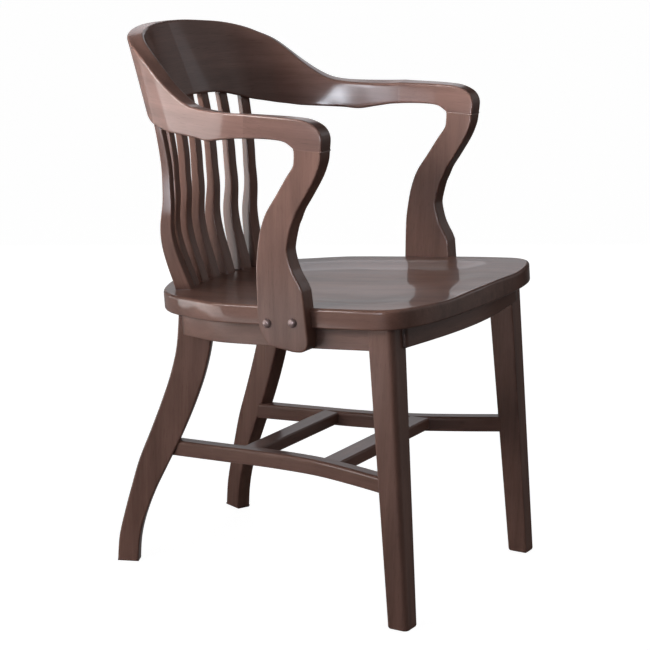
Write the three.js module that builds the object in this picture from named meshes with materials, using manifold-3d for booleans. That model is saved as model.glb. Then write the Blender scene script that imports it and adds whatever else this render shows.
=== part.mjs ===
// A wooden captains chair: saddled seat, bent back bow on seven slats, turned-down arms on scrolled
// posts, square front legs, sabre rear legs and a low stretcher frame.
// Millimetres, +Z up. The sitter faces -Y, so the sitter's right is -X and left is +X. x = 0 is the
// plane of symmetry. The finished group stands on z = 0 with the origin under the middle of its box.
import * as THREE from "three";
import { mergeVertices } from "three/addons/utils/BufferGeometryUtils.js";
import Module from "manifold-3d";

const wasm = await Module();
wasm.setup();

// Driving dimensions

const seatHalfWidth = 226.5;
const seatFront = 318; // from the frame's middle line to the front edge, along the pitched seat
const seatBack = 208;
const seatHeight = 435.3; // top plane of the seat over the frame's middle line
const seatPitch = THREE.MathUtils.degToRad(5.43); // the front is higher
const seatThickness = 28.5;
const seatDish = 7;
const seatEdgeRadius = 5;
const scoopPlace = 112; // thigh scoops, which run out over the front edge
const scoopWidth = 52;
const scoopDepth = 3.2;
const scoopBack = -120;
const pommelWidth = 40; // ridge between the scoops
const pommelRise = 3.4;
const pommelBack = -60;

const apronHeight = 31.4;
const apronThickness = 20;
const apronInset = 8.5; // how far the seat overhangs the side rails
const railEndSink = 1; // how far a rail's face or end lies past the face of its leg

const frontLegTopDrop = 45.3; // from the seat's reference height to the leg's own
const frontLegTopSide = 39.1;
const frontLegTopInset = 12; // seat side to the leg's outer face
const frontLegTopSetback = 43.9; // seat front to the leg's front face
const frontLegFootSide = 31.1;
const frontLegFootInset = 7.8;
const frontLegFootSetback = 9.4;
const frontLegTopZ = seatHeight - frontLegTopDrop;
const frontLegTopX = seatHalfWidth - frontLegTopInset - frontLegTopSide / 2;
const frontLegTopY = frontLegTopSide / 2 + frontLegTopSetback - seatFront;
const frontLegFootX = seatHalfWidth - frontLegFootInset - frontLegFootSide / 2;
const frontLegFootY = frontLegFootSide / 2 + frontLegFootSetback - seatFront;
const frontLegOuterRadius = 11;
const legCornerRadius = 2.5;

const rearLegInset = 84.7; // seat side to the inner corner of the foot
const rearLegSetback = 17.1; // seat back to the front corner of the foot
const rearLegTopDrop = 38.3; // from the seat's reference height to the leg's top
const rearLegFootX = seatHalfWidth - rearLegInset;
const rearLegFootY = seatBack - rearLegSetback;
const rearLegTurn = THREE.MathUtils.degToRad(22.9);
const rearLegThickness = 25;
const rearLegRise = seatHeight - rearLegTopDrop;
const rearLegSweep = 113;

const sideRailFrontEnd = railEndSink - frontLegTopY - frontLegTopSide / 2;
const sideRailSetback = 97; // seat back to the rear end of a side rail
const sideRailBackEnd = seatBack - sideRailSetback;
const frontRailBow = 22;
const rearRailSetback = 112;
const rearRailInset = 110.5;
const rearRailPlace = seatBack - rearRailSetback;
const rearRailHalfLength = seatHalfWidth - rearRailInset;

const bowOverhang = 20.3; // how far the bow's front ends stand out past the seat
const bowSetback = 6; // how far the bow's lower edge stands out behind the seat
const bowHalfWidth = seatHalfWidth + bowOverhang;
const bowBack = seatBack + bowSetback;
const bowEnd = -47; // y of the joint with the arms
const bowThickness = 25.4;
const bowEndThickness = 27.8;
const bowLowerRise = 263.7; // heights over the seat's reference height
const bowUpperRise = 371.2;
const bowHipRise = 236.2; // lowest level of the lower edge, beside the waist
const bowWaistRise = 273.7; // lowest level of the upper edge
const bowLowerHeight = seatHeight + bowLowerRise;
const bowUpperHeight = seatHeight + bowUpperRise;
const bowHipHeight = seatHeight + bowHipRise;
const bowWaistHeight = seatHeight + bowWaistRise;
const bowLean = 50; // how far the upper edge leans out behind the lower edge
const bowTilt = 4; // how far the inner top edge stands above the outer one in the middle
const bowEdgeRadius = 3.6;

const armThickness = 27.9;
const armElbow = 176; // foremost point of the arm, in front of the middle line
const armTopRise = 280.9;
const armJointRise = 238.7;
const armTopHeight = seatHeight + armTopRise;
const armJointHeight = seatHeight + armJointRise; // butt joint of arm and post
const postOverhang = 16.4; // seat side to the outer face of the posts, where the lean is measured from
const postReferenceRise = 64.7;
const postHalfSpan = seatHalfWidth + postOverhang;
const postReferenceHeight = seatHeight + postReferenceRise;
const postLeanShare = 0.0406; // outward lean, as a share of height
const postDrop = 49.3; // the posts reach this far under the seat's reference height
const postBottom = seatHeight - postDrop;

const slatCount = 7;
const slatHeadReach = 127; // outermost slat from the middle, along the bow
const slatFootReach = 103; // outermost slat from the middle, along x
const slatFootSetback = 49; // seat back to the middle slat's foot
const slatFootBack = seatBack - slatFootSetback;
const slatFootForward = 21; // the outermost feet stand further forward by this
const slatHeadInset = 13;
const slatSpread = 8.7; // the outermost slats stand out by this between foot and head
const slatFootWidth = 21.5;
const slatFootDepth = 26;
const slatTurn = THREE.MathUtils.degToRad(15); // of the outermost slats
const slatCornerRadius = 2;

const stretcherWidth = 24;
const stretcherHeight = 23.5;
const stretcherTopShare = 0.4608; // of the seat height, to the side stretchers' top on the middle line
const stretcherTop = stretcherTopShare * seatHeight;
const stretcherRiseShare = 0.056; // of their length, by which they climb to the front
const stretcherTopRadius = 4.5;
const stretcherFrontInset = 19.5; // seat side to their outer face, at the front end
const stretcherRearInset = 88.4; // and at the rear end
const stretcherFrontSetback = 56;
const stretcherRearSetback = 70;
const stretcherFrontX = seatHalfWidth - stretcherFrontInset;
const stretcherRearX = seatHalfWidth - stretcherRearInset;
const stretcherFrontY = stretcherFrontSetback - seatFront;
const stretcherRearY = seatBack - stretcherRearSetback;
const crossHeight = 19;
const crossDrop = 1; // the cross stretchers' tops lie this much below the side ones
const crossRadius = 3;
const rearCrossPlace = 7;
const rearCrossWidth = 28;
const frontCrossPlace = -139.5;
const frontCrossWidth = 32;

const tenonLength = 13;
const tenonThickness = 8;
const tenonWidth = 18;
const frontTenonShare = 0.7; // of the rail's thickness, from its face to the middle of the tenon
const stretcherTenonRadius = 5;
const frontTenonInset = 6; // from the end of the stretcher to the middle of its tenon
const frontTenonLength = 26;
const rearTenonInset = 11.5;
const rearTenonLength = 28;
const rearTenonShift = 2.5; // outwards, to stay inside the turned leg
const legTenonRadius = 10;
const sabreTopShare = 0.77; // of the sweep, from the foot's corner to the middle of the leg's top
const slatTenonShare = 0.7; // of the slat's section
const dowelRadius = 4;
const dowelLength = 36;
const dowelSpacing = 15;
const screwShankRadius = 3.4;
const screwLength = 62;
const screwHeadRadius = 6.6;
const screwHeadRise = 4.2;
const backScrewPlace = -86;
const backScrewDrop = 12.3; // under the seat's reference height
const frontScrewPlace = -127;
const frontScrewDrop = 6.8;
const blockHeight = 24;
const frontBlockInset = 21.5; // seat side to the front blocks' corner, before they are fitted
const frontBlockSetback = 38;
const frontBlockLegX = 93;
const frontBlockLegY = 115;
const rearBlockLap = 13; // how far the rear blocks run on past the rear rail's front face
const rearBlockDepth = 47;
const rearBlockEndGap = 2; // past the end of the rear rail
const rearBlockWidth = 58;

const gap = 0.3; // left between pieces that touch
const overrun = 12; // how far a cutting shape passes what it cuts
const sameShare = 0.01; // of the gap: closer points are one
const arcSteps = 3;
const fineArcSteps = 2;
const roundSides = 12;

// Shares that give the outlines their character

// Seat outline, half: [share of half width, share of depth from the front edge]
const seatOutlineShares = [
  [0, 0], [0.3, 0.004], [0.57, 0.014], [0.78, 0.035], [0.92, 0.066], [0.983, 0.107], [1, 0.165],
  [1, 0.27], [0.985, 0.36], [0.952, 0.49], [0.93, 0.6], [0.907, 0.66], [0.862, 0.71],
  [0.812, 0.755], [0.742, 0.82], [0.67, 0.866], [0.573, 0.907], [0.46, 0.94], [0.3, 0.972],
  [0.15, 0.993], [0, 1],
];
// Dished rings of the seat top: [share of the outline, share of the dish depth]
const seatRingShares = [
  [0.87, 0], [0.8, 0.12], [0.72, 0.42], [0.62, 0.75], [0.5, 0.94], [0.34, 1], [0.17, 0.96],
];
// Bow stations, half: [x share of half width, y share of back reach, share of the drop of the lower
// edge, share of the rise of the upper edge, share of the lean, share of the tilt]
const bowShares = [
  [0, 1, 0, 1, 1, 1],
  [0.15, 0.995, 0.03, 0.995, 0.92, 0.75],
  [0.296, 0.977, 0.11, 0.969, 0.82, 0.5],
  [0.4295, 0.944, 0.33, 0.93, 0.7, 0.5],
  [0.543, 0.889, 0.58, 0.862, 0.59, 0.25],
  [0.62, 0.831, 0.72, 0.776, 0.495, 0],
  [0.689, 0.766, 0.84, 0.668, 0.395, -0.25],
  [0.7415, 0.692, 0.92, 0.51, 0.3, -0.25],
  [0.788, 0.617, 1, 0.337, 0.19, -0.4],
  [0.8306, 0.531, 1.018, 0.179, 0.09, -0.5],
  [0.867, 0.444, 1.018, 0.071, 0.04, -0.5],
  [0.902, 0.36, 1.03, 0.035, 0, -0.5],
  [0.936, 0.268, 1.07, 0.028, -0.02, -0.7],
  [0.968, 0.165, 0.89, 0.03, -0.01, -1],
  [0.9887, 0.073, 0.73, 0.042, 0, -1],
  [1, 0, 0.66, 0.06, 0, -0.8],
];
// Sabre leg edges: [share of the rise, share of the sweep]
const legBackShares = [
  [0, 0.283], [0.1, 0.261], [0.2, 0.186], [0.3, 0.097], [0.41, -0.009], [0.53, -0.168],
  [0.65, -0.319], [0.756, -0.434], [0.87, -0.513], [1.03, -0.54],
];
const legFrontShares = [
  [0, 0], [0.088, -0.018], [0.176, -0.084], [0.277, -0.208], [0.38, -0.372], [0.506, -0.575],
  [0.63, -0.748], [0.756, -0.889], [0.882, -0.973], [1.03, -1.003],
];
// Arm post edges: [share of the height from the bottom to the arm joint, share of the elbow reach]
const postBackShares = [
  [1, -0.733], [0.95, -0.733], [0.914, -0.722], [0.862, -0.666], [0.817, -0.621], [0.755, -0.559],
  [0.666, -0.47], [0.569, -0.419], [0.452, -0.392], [0.369, -0.386], [0.228, -0.392],
  [0.155, -0.397], [0.1, -0.414], [0.05, -0.448], [0.015, -0.502],
];
const postLowerFrontShares = [
  [0, -0.72], [0.004, -0.795], [0.022, -0.842], [0.055, -0.862], [0.12, -0.85], [0.228, -0.83],
  [0.307, -0.8125],
];
const postUpperFrontShares = [
  [0.307, -0.8125], [0.341, -0.784], [0.372, -0.75], [0.417, -0.71], [0.486, -0.676],
  [0.528, -0.676], [0.61, -0.705], [0.652, -0.733], [0.703, -0.767], [0.766, -0.83],
  [0.869, -0.926], [0.945, -0.972], [1, -0.983],
];
// Arm stations from the bow to the post: [y shares of the elbow reach of the under edge and of the top
// edge, height shares from joint to top of the under edge and of the top edge]
const armShares = [
  [-0.267, -0.267, 0.166, 0.968],
  [-0.353, -0.353, 0.2, 0.975],
  [-0.455, -0.466, 0.227, 0.988],
  [-0.546, -0.581, 0.237, 1],
  [-0.613, -0.698, 0.227, 1],
  [-0.659, -0.804, 0.185, 0.979],
  [-0.69, -0.893, 0.118, 0.877],
  [-0.71, -0.955, 0.066, 0.711],
  [-0.723, -0.988, 0.03, 0.427],
  [-0.733, -0.983, 0, 0],
];
// Slat centre line: [share of the rise, share of the way from foot to top, measured backwards]
const slatSweepShares = [
  [0, 0], [0.07, 0.13], [0.15, 0.3], [0.25, 0.483], [0.35, 0.57], [0.49, 0.53], [0.6, 0.58],
  [0.72, 0.65], [0.87, 0.813], [1, 1],
];
// How the side slats spread between foot and head: [share of the rise, share of the spread]
const slatSpreadShares = [
  [0, 0], [0.12, 0.65], [0.25, 1], [0.4, 0.93], [0.52, 0.55], [0.64, 0.15], [0.78, 0], [1, 0],
];
// Slat depth and width: [share of the rise, share of the foot depth, share of foot width]
const slatSectionShares = [
  [0, 1, 1], [0.1, 0.91, 0.98], [0.25, 0.79, 0.9], [0.4, 0.67, 0.82], [0.55, 0.54, 0.8],
  [0.7, 0.5, 0.8], [0.85, 0.46, 0.81], [1, 0.42, 0.82],
];
// Places of the slats from the middle to the side: shares of foot reach, foot forward and head reach
const slatPlaceShares = [[0, 0, 0], [0.369, 0.167, 0.302], [0.728, 0.524, 0.653], [1, 1, 1]];
// Side stretcher plan, outer edge: [share from the front end to the rear end, share of the way in]
const stretcherPlanShares = [
  [0, 1], [0.18, 0.595], [0.36, 0.264], [0.57, 0.099], [0.78, 0.051], [1, 0],
];
// Screw head outline: [share of its radius, share of its rise]
const screwHeadShares = [[1, 0], [1, 0.3], [0.86, 0.68], [0.5, 0.94], [0, 1]];

// Materials: one dark walnut lacquer seen on each kind of piece, and blackened steel

const lacquerRoughness = 0.42;
const steelRoughness = 0.35;
const steelMetalness = 0.85;

function wood(name, color) {
  const material = new THREE.MeshStandardMaterial({ color, roughness: lacquerRoughness, metalness: 0 });
  material.name = name;
  return material;
}
const seatWood = wood("walnut_seat", 0x6b4f4a);
const frameWood = wood("walnut_frame", 0x5f4540);
const bowWood = wood("walnut_bow", 0x654a44);
const hiddenWood = wood("raw_beech", 0xb08a5e);
const steel = wood("bronzed_steel", 0x5a4a46);
steel.roughness = steelRoughness;
steel.metalness = steelMetalness;

// Geometry helpers

const up = new THREE.Vector3(0, 0, 1);

function vector(x, y, z = 0) {
  return new THREE.Vector3(x, y, z);
}

// Value of a table of rows at a place, by a smooth curve through the rows, which rise in place.
function tableCurve(rows, column = 1) {
  const curve = new THREE.SplineCurve(rows.map((row) => new THREE.Vector2(row[0], row[column])));
  const points = curve.getPoints(rows.length * arcSteps * 2);
  return (place) => {
    const next = points.findIndex((p) => p.x > place);
    if (next < 1) {
      return next === 0 ? points[0].y : points[points.length - 1].y;
    }
    const [a, b] = [points[next - 1], points[next]];
    return a.y + ((b.y - a.y) * (place - a.x)) / (b.x - a.x);
  };
}

// A closed body through rings of equal length, each counter-clockwise about the direction of travel.
function loft(rings) {
  const count = rings[0].length;
  const position = rings.flat().flatMap((p) => [p.x, p.y, p.z]);
  const index = [];
  for (let k = 0; k < rings.length - 1; k++) {
    for (let i = 0; i < count; i++) {
      const a = k * count + i;
      const b = k * count + ((i + 1) % count);
      index.push(a, b, b + count, a, b + count, a + count);
    }
  }
  [0, rings.length - 1].forEach((k, end) => {
    const middle = rings[k].reduce((sum, p) => sum.add(p), vector(0, 0)).divideScalar(count);
    const centre = position.length / 3;
    position.push(middle.x, middle.y, middle.z);
    for (let i = 0; i < count; i++) {
      const a = k * count + i;
      const b = k * count + ((i + 1) % count);
      index.push(centre, end ? a : b, end ? b : a);
    }
  });
  const geometry = new THREE.BufferGeometry();
  geometry.setAttribute("position", new THREE.Float32BufferAttribute(position, 3));
  geometry.setIndex(index);
  return geometry;
}

// Rounded rectangle from corner to corner, counter-clockwise, centred; radii start at +x +y.
function roundedRectangle(width, height, radii, steps = arcSteps) {
  const points = [];
  [[1, 1], [-1, 1], [-1, -1], [1, -1]].forEach(([sx, sy], corner) => {
    const radius = radii[corner];
    const cx = sx * (width / 2 - radius);
    const cy = sy * (height / 2 - radius);
    for (let k = 0; k <= steps; k++) {
      const angle = (corner + k / steps) * (Math.PI / 2);
      points.push([cx + radius * Math.cos(angle), cy + radius * Math.sin(angle)]);
    }
  });
  return points;
}

function evenlyRounded(width, height, radius) {
  return roundedRectangle(width, height, [radius, radius, radius, radius], fineArcSteps);
}

function solid(geometry) {
  const bare = geometry.clone();
  bare.deleteAttribute("normal");
  bare.deleteAttribute("uv");
  const merged = mergeVertices(bare.index ? bare.toNonIndexed() : bare, gap * sameShare);
  return new wasm.Manifold(
    new wasm.Mesh({
      numProp: 3,
      vertProperties: merged.attributes.position.array,
      triVerts: new Uint32Array(merged.index.array),
    }),
  );
}

function geometryOf(body) {
  const mesh = body.getMesh();
  const position = new Float32Array(mesh.numVert * 3);
  for (let k = 0; k < mesh.numVert; k++) {
    position.set(mesh.vertProperties.subarray(k * mesh.numProp, k * mesh.numProp + 3), k * 3);
  }
  const geometry = new THREE.BufferGeometry();
  geometry.setAttribute("position", new THREE.BufferAttribute(position, 3));
  geometry.setIndex(new THREE.BufferAttribute(new Uint32Array(mesh.triVerts), 1));
  const flat = geometry.toNonIndexed();
  flat.computeVertexNormals();
  return flat;
}

// The largest body of a cut, without the offcuts.
function largest(body) {
  return body.decompose().reduce((best, one) => (one.volume() > best.volume() ? one : best));
}

function smooth(points, count) {
  return new THREE.SplineCurve(points.map(([x, y]) => new THREE.Vector2(x, y)))
    .getPoints(count)
    .map((p) => [p.x, p.y]);
}

function extrude(points, depth, bevel = 0) {
  const shape = new THREE.Shape(points.map(([x, y]) => new THREE.Vector2(x, y)));
  return new THREE.ExtrudeGeometry(shape, {
    depth: depth - 2 * bevel,
    steps: 1,
    bevelEnabled: bevel > 0,
    bevelThickness: bevel,
    bevelSize: bevel,
    bevelOffset: -bevel,
    bevelSegments: 1,
    curveSegments: arcSteps * 2,
  }).translate(0, 0, bevel);
}

// An outline in the plane moved outwards by a distance, corner by corner.
function grown(points, distance) {
  const area = points.reduce((sum, [x, y], k) => {
    const [nx, ny] = points[(k + 1) % points.length];
    return sum + x * ny - nx * y;
  }, 0);
  const turn = Math.sign(area) * distance;
  return points.map(([x, y], k) => {
    const [bx, by] = points[(k + points.length - 1) % points.length];
    const [ax, ay] = points[(k + 1) % points.length];
    const length = Math.hypot(ax - bx, ay - by);
    return [x + ((ay - by) / length) * turn, y - ((ax - bx) / length) * turn];
  });
}

// The turn that takes the +Y axis to a direction.
function turnTo(direction) {
  return new THREE.Quaternion().setFromUnitVectors(vector(0, 1), direction.clone().normalize());
}

function rodBetween(from, to, radius) {
  const along = to.clone().sub(from);
  return new THREE.CylinderGeometry(radius, radius, along.length(), roundSides)
    .applyQuaternion(turnTo(along))
    .translate(...from.clone().lerp(to, 1 / 2).toArray());
}

function mirrored(body) {
  return body.mirror([1, 0, 0]);
}

// Seat board, built flat and then pitched

const seatMatrix = new THREE.Matrix4()
  .makeTranslation(0, 0, seatHeight)
  .multiply(new THREE.Matrix4().makeRotationX(-seatPitch));

function seatPoint(x, y, drop = 0) {
  return vector(x, y, -drop).applyMatrix4(seatMatrix);
}

const seatPoints = 64;

function seatOutline() {
  const depth = seatFront + seatBack;
  const half = seatOutlineShares.map(([x, y]) => vector(x * seatHalfWidth, y * depth - seatFront));
  const other = half.slice(1, -1).reverse().map((p) => vector(-p.x, p.y));
  const curve = new THREE.CatmullRomCurve3([...half, ...other], true, "centripetal");
  return curve.getSpacedPoints(seatPoints).slice(0, -1);
}
const seatEdge = seatOutline();

// The seat outline moved inwards along its own normals.
function seatInset(distance) {
  return seatEdge.map((p, k) => {
    const before = seatEdge[(k + seatEdge.length - 1) % seatEdge.length];
    const after = seatEdge[(k + 1) % seatEdge.length];
    const inward = vector(before.y - after.y, after.x - before.x).normalize();
    return p.clone().addScaledVector(inward, distance);
  });
}

// How far the top lies under its plane: the bowl, deeper in the thigh scoops, shallower on the pommel.
function saddleDrop(x, y, dish) {
  const bell = (distance, width) => Math.exp(-((distance / width) ** 2));
  const scoopFront = 1 - THREE.MathUtils.smoothstep(y, -seatFront, scoopBack);
  const pommelFront = 1 - THREE.MathUtils.smoothstep(y, -seatFront, pommelBack);
  const scoop = scoopDepth * scoopFront * bell(Math.abs(x) - scoopPlace, scoopWidth);
  const pommel = pommelRise * pommelFront * bell(x, pommelWidth);
  return dish * (seatDish - pommel) + scoop;
}

function seatBoard() {
  const level = (ring, z) => ring.map((p) => vector(p.x, p.y, z));
  const sunk = (ring, z, dish) => ring.map((p) => vector(p.x, p.y, z - saddleDrop(p.x, p.y, dish)));
  const under = seatEdgeRadius / 2;
  const rings = [level(seatInset(under), -seatThickness), level(seatInset(0), -seatThickness + under)];
  for (let k = 0; k <= arcSteps; k++) {
    const angle = (k / arcSteps) * (Math.PI / 2);
    const edge = seatInset(seatEdgeRadius * (1 - Math.cos(angle)));
    rings.push(sunk(edge, seatEdgeRadius * (Math.sin(angle) - 1), 0));
  }
  const rim = seatInset(seatEdgeRadius);
  const middle = vector(0, (seatBack - seatFront) / 2);
  seatRingShares.forEach(([share, dish]) => {
    rings.push(sunk(rim.map((p) => middle.clone().lerp(p, share)), 0, dish));
  });
  return solid(loft(rings).applyMatrix4(seatMatrix));
}

// Rails under the seat

// Points of the seat outline on the +X side between two places, moved inwards, no wider than the legs.
function railEdge(inset, from, to) {
  const most = seatHalfWidth - frontLegTopInset - gap * 2 - (inset - apronInset);
  const side = seatInset(inset).filter((p) => p.x > 0).sort((a, b) => a.y - b.y);
  const across = (y) => {
    const next = side.findIndex((p) => p.y > y);
    const [a, b] = [side[next - 1], side[next]];
    return vector(a.x + ((b.x - a.x) * (y - a.y)) / (b.y - a.y), y);
  };
  const inside = side.filter((p) => p.y > -from && p.y < to);
  return [across(-from), ...inside, across(to)].map((p) => [Math.min(p.x, most), p.y]);
}

// A plate on edge under the seat, from an outline in the plane of the seat.
function underSeat(outline, height, growth) {
  const drop = -seatThickness - gap - height - growth;
  const geometry = extrude(growth ? grown(outline, growth) : outline, height + growth * 2);
  return solid(geometry.translate(0, 0, drop).applyMatrix4(seatMatrix));
}

function sideRail(growth = 0) {
  const front = sideRailFrontEnd + overrun;
  const outer = railEdge(apronInset, front, sideRailBackEnd);
  const inner = railEdge(apronInset + apronThickness, front, sideRailBackEnd);
  return underSeat([...outer, ...inner.reverse()], apronHeight, growth);
}

const frontRailFace = frontLegTopSetback + railEndSink - seatFront;
const frontRailSteps = 16;

function frontRail(growth = 0) {
  const half = frontLegTopX - frontLegTopSide / 4;
  const front = Array.from({ length: frontRailSteps + 1 }, (_, k) => {
    const share = (k / frontRailSteps) * 2 - 1;
    return [share * half, frontRailFace - frontRailBow * Math.cos((share * Math.PI) / 2)];
  });
  const back = front.map(([x, y]) => [x, y + apronThickness]).reverse();
  return underSeat([...front, ...back], apronHeight, growth);
}

function rearRail(growth = 0) {
  const [x, front, back] = [rearRailHalfLength, rearRailPlace, rearRailPlace + apronThickness];
  return underSeat([[-x, front], [x, front], [x, back], [-x, back]], apronHeight, growth);
}

// Tenon on a rail: a box from one corner to the other, in the plane of the seat, centred in height.
function railTenon([fromX, toX], [fromY, toY], growth) {
  const outline = [[fromX, fromY], [toX, fromY], [toX, toY], [fromX, toY]];
  const middle = -seatThickness - apronHeight / 2;
  const height = tenonWidth + growth * 2;
  const geometry = extrude(growth ? grown(outline, growth) : outline, height);
  return solid(geometry.translate(0, 0, middle - height / 2).applyMatrix4(seatMatrix));
}

// The two ends of a size that reaches as far to each side of a place.
function around(place, reach) {
  return [place - reach, place + reach];
}

function sideRailTenon(growth = 0) {
  const x = seatHalfWidth - frontLegTopInset - apronThickness / 2;
  return railTenon(around(x, tenonThickness / 2), around(-sideRailFrontEnd, tenonLength), growth);
}

function frontRailTenon(growth = 0) {
  const x = frontLegTopX - frontLegTopSide / 2;
  const y = frontRailFace - railEndSink + apronThickness * frontTenonShare;
  return railTenon(around(x, tenonLength), around(y, tenonThickness / 2), growth);
}

function rearRailTenon(growth = 0) {
  const x = rearRailHalfLength - tenonLength;
  const y = rearRailPlace + apronThickness / 2;
  return railTenon(around(x, tenonLength), around(y, tenonThickness / 2), growth);
}

function frontBlock() {
  const x = seatHalfWidth - frontBlockInset;
  const y = frontBlockSetback - seatFront;
  return underSeat([[x, y], [x, y + frontBlockLegY], [x - frontBlockLegX, y]], blockHeight, 0);
}

function rearBlock() {
  const inner = rearRailHalfLength + rearBlockEndGap;
  const outer = inner + rearBlockWidth;
  const back = rearRailPlace + rearBlockLap;
  const front = back - rearBlockDepth;
  return underSeat([[inner, front], [outer, front], [outer, back], [inner, back]], blockHeight, 0);
}

// Legs

// Point on a front leg's centre line, and its side length, at a height.
function frontLegAt(z) {
  const share = z / frontLegTopZ;
  const mix = (foot, top) => foot + (top - foot) * share;
  return {
    x: mix(frontLegFootX, frontLegTopX),
    y: mix(frontLegFootY, frontLegTopY),
    side: mix(frontLegFootSide, frontLegTopSide),
  };
}

function frontLeg(growth = 0) {
  const small = legCornerRadius;
  const rings = [-growth, seatHeight + overrun].map((z) => {
    const { x, y, side } = frontLegAt(z);
    const large = frontLegOuterRadius * (side / frontLegTopSide);
    const width = side + growth * 2;
    const section = roundedRectangle(width, width, [small, small, small, large]);
    return section.map(([a, b]) => vector(x + a, y + b, z));
  });
  return solid(loft(rings));
}

const sweepDirection = vector(Math.sin(rearLegTurn), Math.cos(rearLegTurn));
const rearLegOutward = vector(Math.cos(rearLegTurn), -Math.sin(rearLegTurn));

const sabreSteps = 16;

function rearLeg(growth = 0) {
  const edge = (rows) => smooth(rows.map(([z, q]) => [q * rearLegSweep, z * rearLegRise]), sabreSteps);
  const outline = [...edge(legBackShares), ...edge(legFrontShares).reverse()];
  const basis = new THREE.Matrix4().makeBasis(sweepDirection, up, rearLegOutward);
  const foot = vector(rearLegFootX, rearLegFootY).addScaledVector(rearLegOutward, -growth);
  basis.setPosition(foot);
  const thickness = rearLegThickness + growth * 2;
  const geometry = extrude(growth ? grown(outline, growth) : outline, thickness, legCornerRadius);
  return solid(geometry.applyMatrix4(basis));
}

// Stretchers

const stretcherEdge = tableCurve(stretcherPlanShares);

function stretcherAt(y) {
  const share = (y - stretcherFrontY) / (stretcherRearY - stretcherFrontY);
  return stretcherRearX + stretcherEdge(share) * (stretcherFrontX - stretcherRearX) - stretcherWidth / 2;
}

function stretcherTopAt(y) {
  return stretcherTop - stretcherRiseShare * y;
}

// Middle of the side stretcher's section at a place, moved outwards by a shift.
function stretcherMiddle(y, shift = 0) {
  return vector(stretcherAt(y) + shift, y, stretcherTopAt(y) - stretcherHeight / 2);
}

const stretcherSteps = 14;

function sideStretcher(growth = 0) {
  const reach = (stretcherRearY - stretcherFrontY) / stretcherSteps;
  const radii = [stretcherTopRadius, stretcherTopRadius, crossRadius, crossRadius];
  const [width, height] = [stretcherWidth + growth * 2, stretcherHeight + growth * 2];
  const section = roundedRectangle(width, height, radii, fineArcSteps);
  const rings = Array.from({ length: stretcherSteps + 1 }, (_, k) => {
    const y = stretcherRearY - reach * k;
    const slope = (stretcherAt(y + reach / 2) - stretcherAt(y - reach / 2)) / reach;
    const across = vector(1, -slope).normalize();
    const centre = stretcherMiddle(y);
    return section.map(([a, b]) => centre.clone().addScaledVector(across, a).addScaledVector(up, b));
  });
  return solid(loft(rings));
}

function stretcherTenon(y, length, shift, growth) {
  const middle = stretcherMiddle(y, shift);
  const along = stretcherMiddle(y + tenonLength).sub(stretcherMiddle(y - tenonLength)).normalize();
  const half = length / 2 + growth;
  const from = middle.clone().addScaledVector(along, -half);
  return solid(rodBetween(from, middle.addScaledVector(along, half), stretcherTenonRadius + growth));
}

function frontStretcherTenon(growth = 0) {
  return stretcherTenon(stretcherFrontY + frontTenonInset, frontTenonLength, 0, growth);
}

function rearStretcherTenon(growth = 0) {
  return stretcherTenon(stretcherRearY - rearTenonInset, rearTenonLength, rearTenonShift, growth);
}

function crossStretcher(place, width) {
  const half = stretcherAt(place);
  const section = evenlyRounded(width, crossHeight, crossRadius);
  const middle = stretcherTopAt(place) - crossDrop - crossHeight / 2;
  return solid(loft([-half, half].map((x) => section.map(([a, b]) => vector(x, place + a, middle + b)))));
}

function crossTenon(place, growth = 0) {
  const middle = stretcherTopAt(place) - crossDrop - crossHeight / 2;
  const inner = stretcherAt(place) - stretcherWidth / 2;
  const from = vector(inner - tenonLength, place, middle);
  const to = vector(inner + tenonLength + growth, place, middle);
  return solid(rodBetween(from, to, stretcherTenonRadius + growth));
}

// Back bow

// Rows of a table, smoothly resampled to a number of steps.
function resampled(rows, steps) {
  const curves = rows[0].map(
    (_, column) => new THREE.SplineCurve(rows.map((row, k) => new THREE.Vector2(k, row[column]))),
  );
  return Array.from({ length: steps + 1 }, (_, k) => curves.map((curve) => curve.getPoint(k / steps).y));
}

// Stations from the middle line to the front end of the +X side.
const bowSteps = 26;
const bowStations = resampled(bowShares, bowSteps).map(([x, y, drop, rise, lean, tilt], k) => ({
  place: vector(x * bowHalfWidth, bowEnd + y * (bowBack - bowEnd)),
  lower: bowLowerHeight - drop * (bowLowerHeight - bowHipHeight),
  upper: bowWaistHeight + rise * (bowUpperHeight - bowWaistHeight),
  lean: lean * bowLean,
  tilt: tilt * bowTilt,
  width: bowThickness + (bowEndThickness - bowThickness) * (k / bowSteps) ** 2,
}));

// Direction of the bow's line at a station: square to the middle plane, and straight at its end.
function bowDirection(k) {
  if (k === 0) {
    return vector(1, 0);
  }
  return k === bowSteps ? vector(0, -1) : bowStations[k + 1].place.clone().sub(bowStations[k - 1].place);
}
bowStations.forEach((station, k) => {
  const along = bowDirection(k).normalize();
  station.outward = vector(-along.y, along.x);
});

function bowRing({ place, outward, lower, upper, lean, tilt, width }) {
  const height = upper - lower;
  return evenlyRounded(width, height, bowEdgeRadius).map(([a, b]) => {
    const share = (b + height / 2) / height;
    const point = place.clone().addScaledVector(outward, a - width / 2 + lean * share);
    point.z = lower + share * (height - tilt * (a / width));
    return point;
  });
}

function backBow() {
  const half = bowStations.map(bowRing);
  const other = half.slice(1).map((ring) => ring.map((p) => vector(-p.x, p.y, p.z)));
  return solid(loft([...other.reverse(), ...half]));
}

// Arms and arm posts

const armSteps = 18;

function postOffset(z) {
  return postHalfSpan + postLeanShare * (z - postReferenceHeight);
}

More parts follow.
